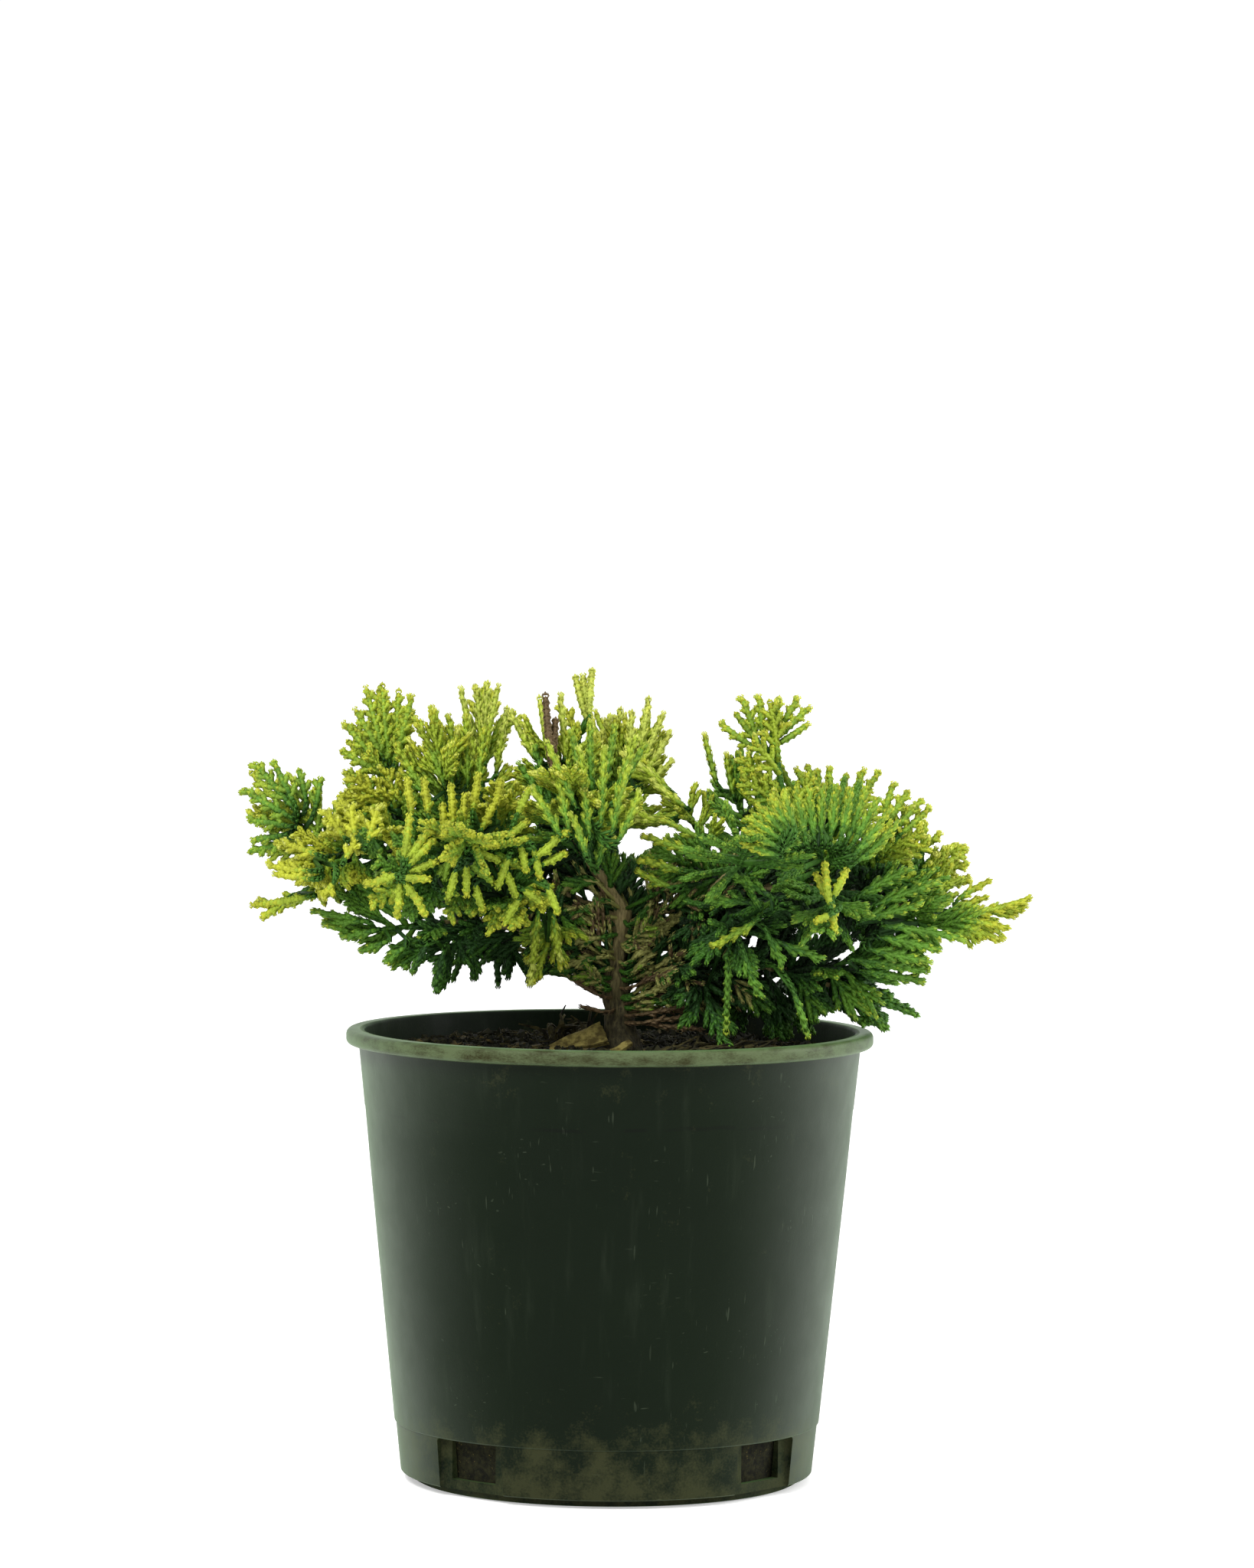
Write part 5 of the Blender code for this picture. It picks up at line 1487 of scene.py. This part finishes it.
print("sprays on the limbs:", filled)

# %% [markdown]
# ### Sprays that stand out
# Some sprays in the photograph have a face of their own: the gold star on the left, the forked spire, the
# dead sprig, the dome with its gold fringe, the long plumes that lean over the gap, and the braids that
# hang down. They are listed one by one: each row says on which stem the sprays grow, how far behind the
# plane they lie, in which habit and tone, and how fresh they are. Each stroke then gives where one spray
# starts and ends, as seen on the plane, and how wide it spreads. These places are in millimetres.

# %% The table of strokes
Mark = namedtuple("Mark", "stem depth habit tone fresh strokes")
MARKS = [Mark(*row) for row in (
    ("left_fan", -5, "finger", "lime", -0.05, (
        (-114, 238, -129, 255, 5), (-114, 240, -122, 256, 4.5), (-115, 235, -133, 245.5, 4.5),
        (-116, 232, -131, 234, 4.5), (-110, 240, -113, 253, 4.5), (-107, 238, -105, 250, 4.5),
        (-116, 228, -131, 222.5, 4), (-118, 229, -130, 227, 3))),
    ("left_low_sprig", -26, "arm", "gold", 0.1, (
        (-108, 207, -130, 203.5, 2), (-119, 204, -126, 198.5, 2))),
    ("left_crest", 7, "finger", "lime", 0.24, (
        (-81, 252, -89, 283, 4.5), (-80, 254, -83, 284, 4.5), (-79, 252, -77, 282, 4.5),
        (-78, 254, -72, 280, 4), (-82, 254, -97, 270, 4.5), (-82, 256, -93, 275, 4),
        (-82, 251, -98, 259.5, 4), (-84, 247, -97, 252, 3.5))),
    ("left_star", -66, "arm", "star", 0.42, (
        (-75, 220, -73, 237, 2.5), (-74, 220, -63.5, 233, 2.5), (-73, 218, -63.5, 228, 2),
        (-74, 216, -62.5, 220, 2.2), (-75, 214, -65, 213.5, 1.5), (-75, 213, -66.5, 200, 2.2),
        (-76, 213, -77, 199, 2), (-77, 215, -89, 211, 2.5))),
    ("left_tier_low", -46, "finger", "gold", 0.35, (
        (-108, 216, -124, 218, 4), (-108, 213, -122, 215, 3.5), (-106, 222, -118, 226, 4.5),
        (-100, 212, -104, 206, 3.5))),
    ("left_tier_mid", -50, "finger", "gold", 0.4, (
        (-96, 228, -104, 238, 4.5), (-92, 228, -94, 240, 4), (-88, 226, -84, 240, 4.5),
        (-96, 220, -92, 228, 4))),
    ("left_slope", -11, "plume", "lime", 0.2, (
        (-57, 246, -65, 276, 6), (-60, 246, -71, 272, 5), (-55, 248, -59, 273, 5),
        (-52, 246, -53, 273, 4), (-66, 242, -78, 262, 4), (-48, 244, -46, 268, 4))),
    ("left_brush", 13, "plume", "pale", 0.2, (
        (-48, 250, -55, 283, 3.5), (-47, 252, -49, 283, 4), (-46, 250, -45, 285, 4),
        (-46, 254, -41, 284, 3.5), (-42, 250, -38, 276, 2.5))),
    ("left_mid", -44, "arm", "gold", 0.25, (
        (-54, 233, -53, 244.5, 1.6), (-47, 231, -41, 243, 1.8), (-60.5, 230, -61, 241, 1.8),
        (-57, 232, -58, 248, 1.8), (-50, 238, -48, 252, 1.8), (-42, 240, -40, 250, 1.5),
        (-66, 236, -68, 250, 2), (-72, 236, -74, 250, 2))),
    ("left_front_low", -58, "arm", "star", 0.28, (
        (-63, 214, -54, 223.5, 1.6), (-58, 222, -60, 213, 1.2), (-54, 221, -42, 212, 2),
        (-37, 222, -41, 210, 1.6), (-52, 219, -52, 207, 1.4), (-56, 217, -59, 206, 1.4),
        (-50, 224, -40, 220, 1.6), (-42, 223, -33, 219, 1.4), (-33, 226, -30.5, 216, 1.4),
        (-28, 225, -25.5, 213.5, 1.6), (-28, 221, -15, 232, 2.6), (-25, 219, -16, 223.5, 1.6),
        (-38, 217, -34, 207, 1.4), (-32, 210, -24, 204.5, 1.6), (-33, 207, -38.5, 198, 1.8),
        (-37, 229, -30, 235, 1.4), (-34, 237, -29, 247, 1.6), (-46, 224, -38, 230, 1.6),
        (-49, 212, -46, 202, 1.4), (-23, 211, -19, 201, 2))),
    ("left_tassel", -35, "tassel", "pale", 0.05, (
        (-26, 204, -29, 175, 3), (-21, 202, -18, 184, 3))),
    ("left_under", -24, "plume", "green", 0.3, (
        (-90, 199, -108, 202, 3), (-88, 198, -104, 196.5, 4), (-84, 195, -97, 192, 4),
        (-80, 191, -90, 187, 4), (-74, 189, -81, 183, 4))),
    ("crown_left", -13, "plume", "pale", 0.3, (
        (-27, 256, -37, 274.5, 3.5), (-24, 254, -32, 270, 3.5), (-22, 254, -26.5, 280, 3),
        (-17, 256, -19, 281, 3))),
    ("crown_left", -18, "arm", "dead", 0.2, (
        (-21.5, 252, -24.3, 281, 0.6), (-21.5, 256, -20.5, 272, 0.5), (-22, 258, -22.4, 266, 0.5))),
    ("crown_spire", -6, "arm", "pale", 0.4, (
        (-7.5, 248, -8.2, 275, 1), (-8.4, 270, -13.6, 287.5, 1.3), (-8.4, 272, -7.4, 290, 1.5),
        (-8.6, 276, -10.8, 288, 0.8))),
    ("crown_mid", 15, "plume", "pale", 0.3, (
        (-3, 254, -1, 273, 5), (0, 250, 3, 276, 4))),
    ("crown_right", -3, "plume", "pale", 0.33, (
        (6, 254, 7, 275, 4), (8, 254, 13, 280, 3.5), (9, 252, 18.5, 274.5, 4), (10, 250, 21, 267, 4),
        (10, 247, 22, 257, 3.5))),
    ("crown_front", -60, "plume", "pale", -0.16, (
        (-15, 230, -20, 253, 4), (-8, 228, -12, 262, 4), (-4, 233, -3, 262, 4), (0, 230, 6, 255, 4),
        (-18, 229, -29, 247, 4), (2, 227, 10, 246, 4), (-13, 240, -24, 264, 3.5), (1, 241, 9, 266, 3.5),
        (-9, 222, -15, 238, 3))),
    ("crown_front", -40, "plume", "lime", -0.05, (
        (-7, 244, -8, 271, 3), (-3, 246, 1, 270, 3), (-10, 244, -15, 268, 3), (2, 244, 12, 263, 3),
        (-5, 218, -3, 232, 3))),
    ("crown_front", -20, "plume", "green", 0.2, (
        (-10, 222, -19, 243, 4), (-7, 222, -8, 242, 4), (-4, 221, -1, 238, 3), (-12, 223, -28, 240, 4),
        (-6, 220, -2, 230, 2))),
    ("crown_left", -16, "plume", "green", 0.25, (
        (-20, 236, -34, 256, 4), (-20, 238, -28, 262, 4), (-18, 240, -22, 260, 4))),
    ("trunk_left", -8, "plume", "moss", 0.3, (
        (-3, 200, -20, 196, 4), (-3, 193, -22, 189, 5), (-3, 186, -19, 182, 5), (-3, 181, -13, 178, 3),
        (-4, 206, -16, 200, 3), (-12, 214, -22, 206, 3), (-4, 179, -16, 185, 3.5), (-4, 189, -12, 199, 3),
        (-4, 175, -10, 180, 2.5))),
    ("trunk_right", -8, "plume", "moss", 0.3, (
        (7, 184, 21, 197, 5), (8, 178, 23, 186, 4), (8, 190, 25, 200, 5), (9, 171, 27, 177, 4),
        (8, 198, 15, 206, 3), (13, 193, 31, 205, 4), (16, 182, 34, 190, 4), (14, 170, 32, 168, 4),
        (18, 210, 32, 218, 4), (8, 181, 17, 190, 3), (9, 173, 19, 181, 3.5), (10, 168, 22, 173, 3),
        (8, 189, 15, 200, 3), (20, 176, 36, 180, 4))),
    ("bridge_high", -18, "tassel", "pale", 0.22, (
        (22, 245, 4, 259, 3.5), (20, 234, 0.5, 242, 3.5), (27, 240, 14, 250, 3), (22, 236, 8, 235, 3))),
    ("bridge_low", -27, "tassel", "lime", 0.25, (
        (30, 224, 11, 230, 3.5), (26, 217, 10, 221, 3.5), (32, 229, 18, 236, 3.5), (22, 211, 9, 217, 3))),
    ("right_spears", 4, "tassel", "lime", 0.3, (
        (38, 248, 33, 267, 1.6), (44, 244, 41, 260, 3), (48, 246, 45.5, 260, 3), (44, 232, 37, 244, 4),
        (50, 240, 48, 256, 4))),
    ("right_plume", -8, "finger", "lime", 0.3, (
        (51, 262, 38.5, 271, 3), (52, 264, 44, 274.5, 3), (52, 265, 46, 280.5, 3.5),
        (54, 265, 52.5, 281, 3.5), (57, 265, 60, 280.5, 3.5), (58, 266, 67, 280.5, 3.5),
        (59, 265, 71.5, 277, 3), (59, 263, 71, 271, 2.5))),
    ("right_dome", -60, "dome", "fringe", 0.12, (
        (64, 222, 49.5, 232, 5), (64.5, 224, 52, 237.5, 5), (66, 226, 56.5, 242, 5),
        (68, 227, 61.5, 244.5, 5), (70, 228, 66, 246.5, 5), (73, 229, 71, 247, 5), (76, 229, 76, 248, 5),
        (79, 229, 81, 248, 5), (82, 228, 86, 248, 5), (84, 227, 91.5, 247, 5), (86, 226, 96, 244, 5),
        (87, 223, 100, 240, 5), (87, 220, 103, 235, 5))),
    ("right_front_fan", -87, "dome", "fringe", 0.25, (
        (60, 223, 47.5, 227, 4.5), (60, 226, 48, 231.5, 4.5), (61, 229, 49.5, 236.5, 4.5),
        (62, 231, 53, 240.5, 4.5), (64, 233, 57.5, 244, 4.5), (66, 233, 62, 246, 4))),
    ("trunk_right", -9, "scrub", "dead", 0.2, (
        (10, 165, 31, 169, 2.5), (11, 162, 29, 164, 2.5), (9, 170, 36, 176, 2.5), (12, 162, 34, 160, 2),
        (8, 175, 26, 184, 2.5), (14, 167, 42, 167, 2))),
    ("trunk_left", -9, "scrub", "dead", 0.2, (
        (-3, 166, -11, 168, 2), (-4, 172, -13, 177, 2))),
    ("right_crest", 0, "finger", "lime", 0.28, (
        (86, 240, 96.5, 254, 3), (85, 240, 91, 255, 3), (76, 242, 70, 256, 3), (80, 242, 78, 255.5, 2.5),
        (82, 240, 84.5, 253, 2.5), (72, 242, 66, 255, 2.5), (66, 244, 60, 257, 2.5),
        (75, 242, 74, 254.5, 2.5))),
    ("right_shoulder", -14, "finger", "lime", 0.3, (
        (98, 236, 101.5, 250, 3), (100, 236, 107, 247, 3.5), (103, 234, 112, 244, 3.5),
        (104, 231, 115, 241, 3.5))),
    ("right_flank", 8, "finger", "lime", 0.32, (
        (110, 224, 119, 232, 3.5), (113, 221, 128, 227, 4), (114, 217, 129, 221, 4),
        (112, 226, 113, 236, 3), (116, 213, 130, 215, 3.5))),
    ("right_reach", -7, "plume", "gold", 0.2, (
        (124, 207, 137, 215, 3), (126, 202, 151.5, 208.5, 4.5), (126, 200, 144, 197.5, 4),
        (124, 198, 141, 193, 4), (122, 204, 136, 209, 4))),
    ("right_skirt", -38, "plume", "green", 0.3, (
        (96, 194, 119, 189, 5), (98, 198, 128, 193, 5), (92, 190, 116, 185, 5), (90, 200, 112, 206, 5),
        (94, 205, 118, 214, 5), (88, 208, 108, 219, 5))),
    ("right_fringe", -34, "plume", "green", 0.2, (
        (92, 184, 115, 181.5, 4), (90, 182, 113.5, 178, 3), (86, 186, 108, 183, 4))),
    ("right_trail", -12, "plume", "deep", 0.5, (
        (84, 178, 102, 173, 4), (86, 174, 111.5, 165.5, 4), (82, 174, 100.5, 160.5, 4),
        (80, 172, 92, 162, 4))),
    ("right_sprig", -64, "arm", "star", 0.45, (
        (79, 205, 77, 221, 1.5), (79, 207, 73.5, 217, 1.2), (80, 208, 85, 218.5, 1.5),
        (79.5, 207, 81, 195, 2), (79, 202, 73.5, 199, 1.2))),
    ("right_drop", -34, "tassel", "green", 0.32, ((43, 192, 42, 158, 2.2),)),
    ("right_under", -45, "tassel", "green", 0.3, ((66, 174, 71.5, 157, 2.2),)),
    ("right_inner", -46, "plume", "lime", 0.15, ((53, 200, 36.5, 190, 4),)),
    ("right_inner", -44, "plume", "green", 0.1, (
        (58, 208, 44, 216, 5), (56, 196, 62, 184, 5), (48, 188, 54, 172, 5), (60, 192, 76, 186, 5),
        (52, 206, 36, 206, 5))),
    ("left_drop", -30, "plume", "deep", 0.3, (
        (-60, 188, -63, 172.5, 3.5), (-66, 190, -71, 180, 3.5))),
    ("left_drop_inner", 2, "plume", "deep", 0.3, (
        (-52, 190, -57, 176.5, 3), (-50, 190, -49.5, 177, 2.5), (-42, 190, -40.5, 174.5, 2.5),
        (-36, 190, -37, 177.5, 2.5), (-30, 190, -29.5, 176, 2.5))),
)]
print("rows:", len(MARKS), "strokes:", sum(len(mark.strokes) for mark in MARKS))

# %% [markdown]
# ### From strokes to sprays
# A spray that starts in the air would look cut off, so a link joins each one to the nearest point of its
# stem or of the trunk. The foot of the spray's axis is greener than its row says, unless it is a thick arm.

# %% Sprays from the strokes
set_by_hand = 0
on_trunk = [lines["trunk"].at(n / 20)[0] for n in range(5, 21)]
for mark in MARKS:
    habit, ramp, owner = HABITS[mark.habit], mark.tone, MASS_NAMES.index(mark.stem)
    link_ramp = ramp if ramp in ("dead", "moss") else "shade"
    fresh_foot = mark.fresh - (0.0 if mark.habit == "arm" else 0.32)
    anchors = on_trunk + [stems[mark.stem].at(n / 20)[0] for n in range(21)]
    for x0, z0, x1, z1, wide in mark.strokes:
        draw = random.Random(f"{mark.stem} {x1} {z1}")
        link, growth = Growth(habit, link_ramp, draw, owner), Growth(habit, ramp, draw, owner)
        depth = mark.depth + draw.uniform(-2.0, 2.0)
        through, end = unseen(x0, depth, z0), unseen(x1, depth, z1)
        along = end - through
        start = min(anchors, key=lambda point: (point - through).length)
        side = along.cross(Vector((0.0, -1.0, 0.15))).normalized()
        joint = through.lerp(end, 0.1)
        bend = through.lerp(through - along.normalized() * (through - start).length, 0.35)
        bow = through.lerp(end, 0.5) + side * draw.uniform(-0.06, 0.06) * along.length
        clothe(start, bend, joint, link, 0.0, 0.4, side, bare=0.35, stout=0.8)
        clothe(through, bow, end, growth, fresh_foot, mark.fresh + 0.6, side, stout=1.08, pointed=True)
        if wide:
            side_shoots(through, bow, end, growth, mark.fresh, side, 0.1, 0.00105 * wide)
        set_by_hand += 1
print("sprays set by hand:", set_by_hand)

# %% [markdown]
# ## Light on the crown
# Golden conifers are golden only where light reaches them, and the leaves closed in deep in the crown are
# also given darker tones, as painted shade. The crown is laid in a grid of small cubes, and for each leaf
# fourteen lines of sight are followed through it. The share that meets no other leaves says how open the
# leaf stands. Three quarters of that value come from the mean of its shoot, so that a shoot keeps one look.
# Openness and freshness together choose the tone, so closed leaves and their cores take the dark end of
# their ramp: green inner growth and painted shade in one.

# %% Openness
CUBE = 0.0040
STEPS = 7
MARGIN = 0.04
MARGIN_CUBES = 12
LEAF_SHADE = 0.10
SHUT, OPEN = 0.08, 0.52
leaf_table = np.vstack(leaf_rows)
corner_low = leaf_table[:, PLACE].min(axis=0) - MARGIN
cells = np.floor((leaf_table[:, PLACE] - corner_low) / CUBE).astype(int)
filled_cubes = np.zeros(cells.max(axis=0) + MARGIN_CUBES, dtype=np.int32)
np.add.at(filled_cubes, tuple(cells.T), 1)
NEIGHBOURS = [(x, y, z) for x in (-1, 0, 1) for y in (-1, 0, 1) for z in (-1, 0, 1)]
SIGHTS = [way for way in NEIGHBOURS if sum(abs(x) for x in way) in (1, 3)]


def openness(places):
    """How freely each place is seen from outside, 0 to 1; the sky counts more than the ground."""
    free, total = np.zeros(len(places)), 0.0
    for sight in SIGHTS:
        way = np.array(sight) / math.sqrt(sum(abs(x) for x in sight))
        weight = 1.0 + 0.6 * way[2]
        passed = np.ones(len(places))
        for step in range(2, STEPS + 2):
            cell = np.floor((places + way * step * CUBE - corner_low) / CUBE).astype(int)
            cell = np.clip(cell, 0, np.array(filled_cubes.shape) - 1)
            passed *= np.exp(-LEAF_SHADE * filled_cubes[tuple(cell.T)])
        free += weight * passed
        total += weight
    return free / total


def tone_numbers_with_painted_shade(freshness, open_share, kinds):
    """The tone of each leaf or core, by number, darker where it is closed in: painted shade."""
    lengths = np.array([len(RAMPS[name]) for name in RAMP_NAMES])
    table = np.zeros((len(RAMP_NAMES), lengths.max()), dtype=int)
    for row, name in enumerate(RAMP_NAMES):
        table[row, : lengths[row]] = [TONE_NAMES.index(tone) for tone in RAMPS[name]]
    kinds = kinds.astype(int)
    # Painted shade: the less open a leaf or core, the darker the tone that it takes from its ramp.
    light = np.clip((open_share - SHUT) / (OPEN - SHUT), 0.0, 1.0)
    value = (0.22 + 0.78 * freshness) * light * light * (3 - 2 * light)
    place = np.clip((value * lengths[kinds]).astype(int), 0, lengths[kinds] - 1)
    return table[kinds, place]


leaf_open = openness(leaf_table[:, PLACE] + 0.002 * leaf_table[:, WAY])
shoots = leaf_table[:, SHOOT].astype(int)
shoot_open = np.bincount(shoots, leaf_open) / np.bincount(shoots)
mixed_open = 0.75 * shoot_open[shoots] + 0.25 * leaf_open
leaf_tones = tone_numbers_with_painted_shade(leaf_table[:, FRESH], mixed_open, leaf_table[:, KIND])
core_fresh, core_kinds = (np.array([core[n] for core in cores]) for n in (1, 2))
core_tones = tone_numbers_with_painted_shade(core_fresh, shoot_open, core_kinds)
print("openness:", np.round(np.percentile(leaf_open, (5, 25, 50, 75, 95)), 2))

# %% [markdown]
# ## From the table to meshes
# Each row of the table becomes a wedge: its heel sits half sunk in the core, its keel stands proud, and its
# tip points along the shoot. The rows of one tone make one mesh, or more where there are too many leaves
# for one, and the cores that carry them make another in the same tone.

# %% Leaf meshes
MOST_LEAVES = 48000


def leaf_mesh(name, rows):
    """A mesh of closed four-faced leaves from rows of the table."""
    base, ahead, out = rows[:, PLACE], rows[:, WAY], rows[:, OUT]
    radius, length, lift = (rows[:, [column]] for column in (RADIUS, LENGTH, LIFT))
    across = np.cross(ahead, out)
    heel = base + out * radius * 0.50
    left = heel - across * radius * 0.90
    right = heel + across * radius * 0.90
    keel = base + ahead * length * 0.42 + out * radius * 1.10
    tip = base + ahead * length + out * radius * lift
    points = np.stack([left, right, keel, tip], axis=1).reshape(-1, 3)
    faces = np.array([(0, 1, 2), (0, 2, 3), (1, 3, 2), (0, 3, 1)])
    faces = (faces[None, :, :] + 4 * np.arange(len(rows))[:, None, None]).reshape(-1, 3)
    piece = new_piece(name, points, faces)
    piece.data.shade_smooth()
    return piece


def leaf_finish(name, colour):
    """Waxy scale leaves of one tone, a little uneven, with a soft gloss."""
    finish, tree, shader = new_finish("leaf_" + name)
    dark = tuple(0.78 * x for x in linear(*colour))
    light = tuple(min(1.0, 1.16 * x) for x in linear(*colour))
    waver = speckle(tree, place_on(tree), 0.0035, 2.0)
    tint = colour_mix(tree, spread_to(tree, waver, 0.3, 0.7), dark, light)
    feed(tree, shader, Base_Color=tint, Roughness=spread_to(tree, waver, 0.3, 0.7, 0.68, 0.54))
    feed(tree, shader, Specular_IOR_Level=0.28)
    return finish


for number, (tone, colour) in enumerate(TONES.items()):
    finish = leaf_finish(tone, colour)
    rows = leaf_table[leaf_tones == number]
    parts = math.ceil(len(rows) / MOST_LEAVES)
    for part in range(parts):
        chosen = rows[part::parts]
        masses = sorted({MASS_NAMES[int(n)] for n in set(chosen[:, OWNER]) if n < len(MASSES)})
        finished(leaf_mesh(f"leaves_{tone}_{part + 1}", chosen), finish, masses)
    heap = Heap(f"cores_{tone}")
    for (shape, _, _), core_tone in zip(cores, core_tones):
        if core_tone == number:
            heap.add(*shape)
    if heap.count:
        piece = heap.piece()
        piece.data.shade_smooth()
        finished(piece, finish)

# %% [markdown]
# ### Stems
# The stems of the masses hardly show between the leaves. Thin rods are enough for them, in one mesh with a
# plain bark finish.

# %% Stems
twig_bark = plain_finish("twig_bark", (64, 56, 34), (118, 108, 66), 0.0016, 0.85)
finished(stem_heap.piece(), twig_bark)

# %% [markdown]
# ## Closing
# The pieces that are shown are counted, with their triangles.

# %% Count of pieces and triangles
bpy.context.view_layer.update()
shown = [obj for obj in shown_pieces() if obj.type == "MESH"]
triangles = sum(len(face.vertices) - 2 for obj in shown for face in obj.data.polygons)
print("pieces:", len(shown), "triangles:", triangles)
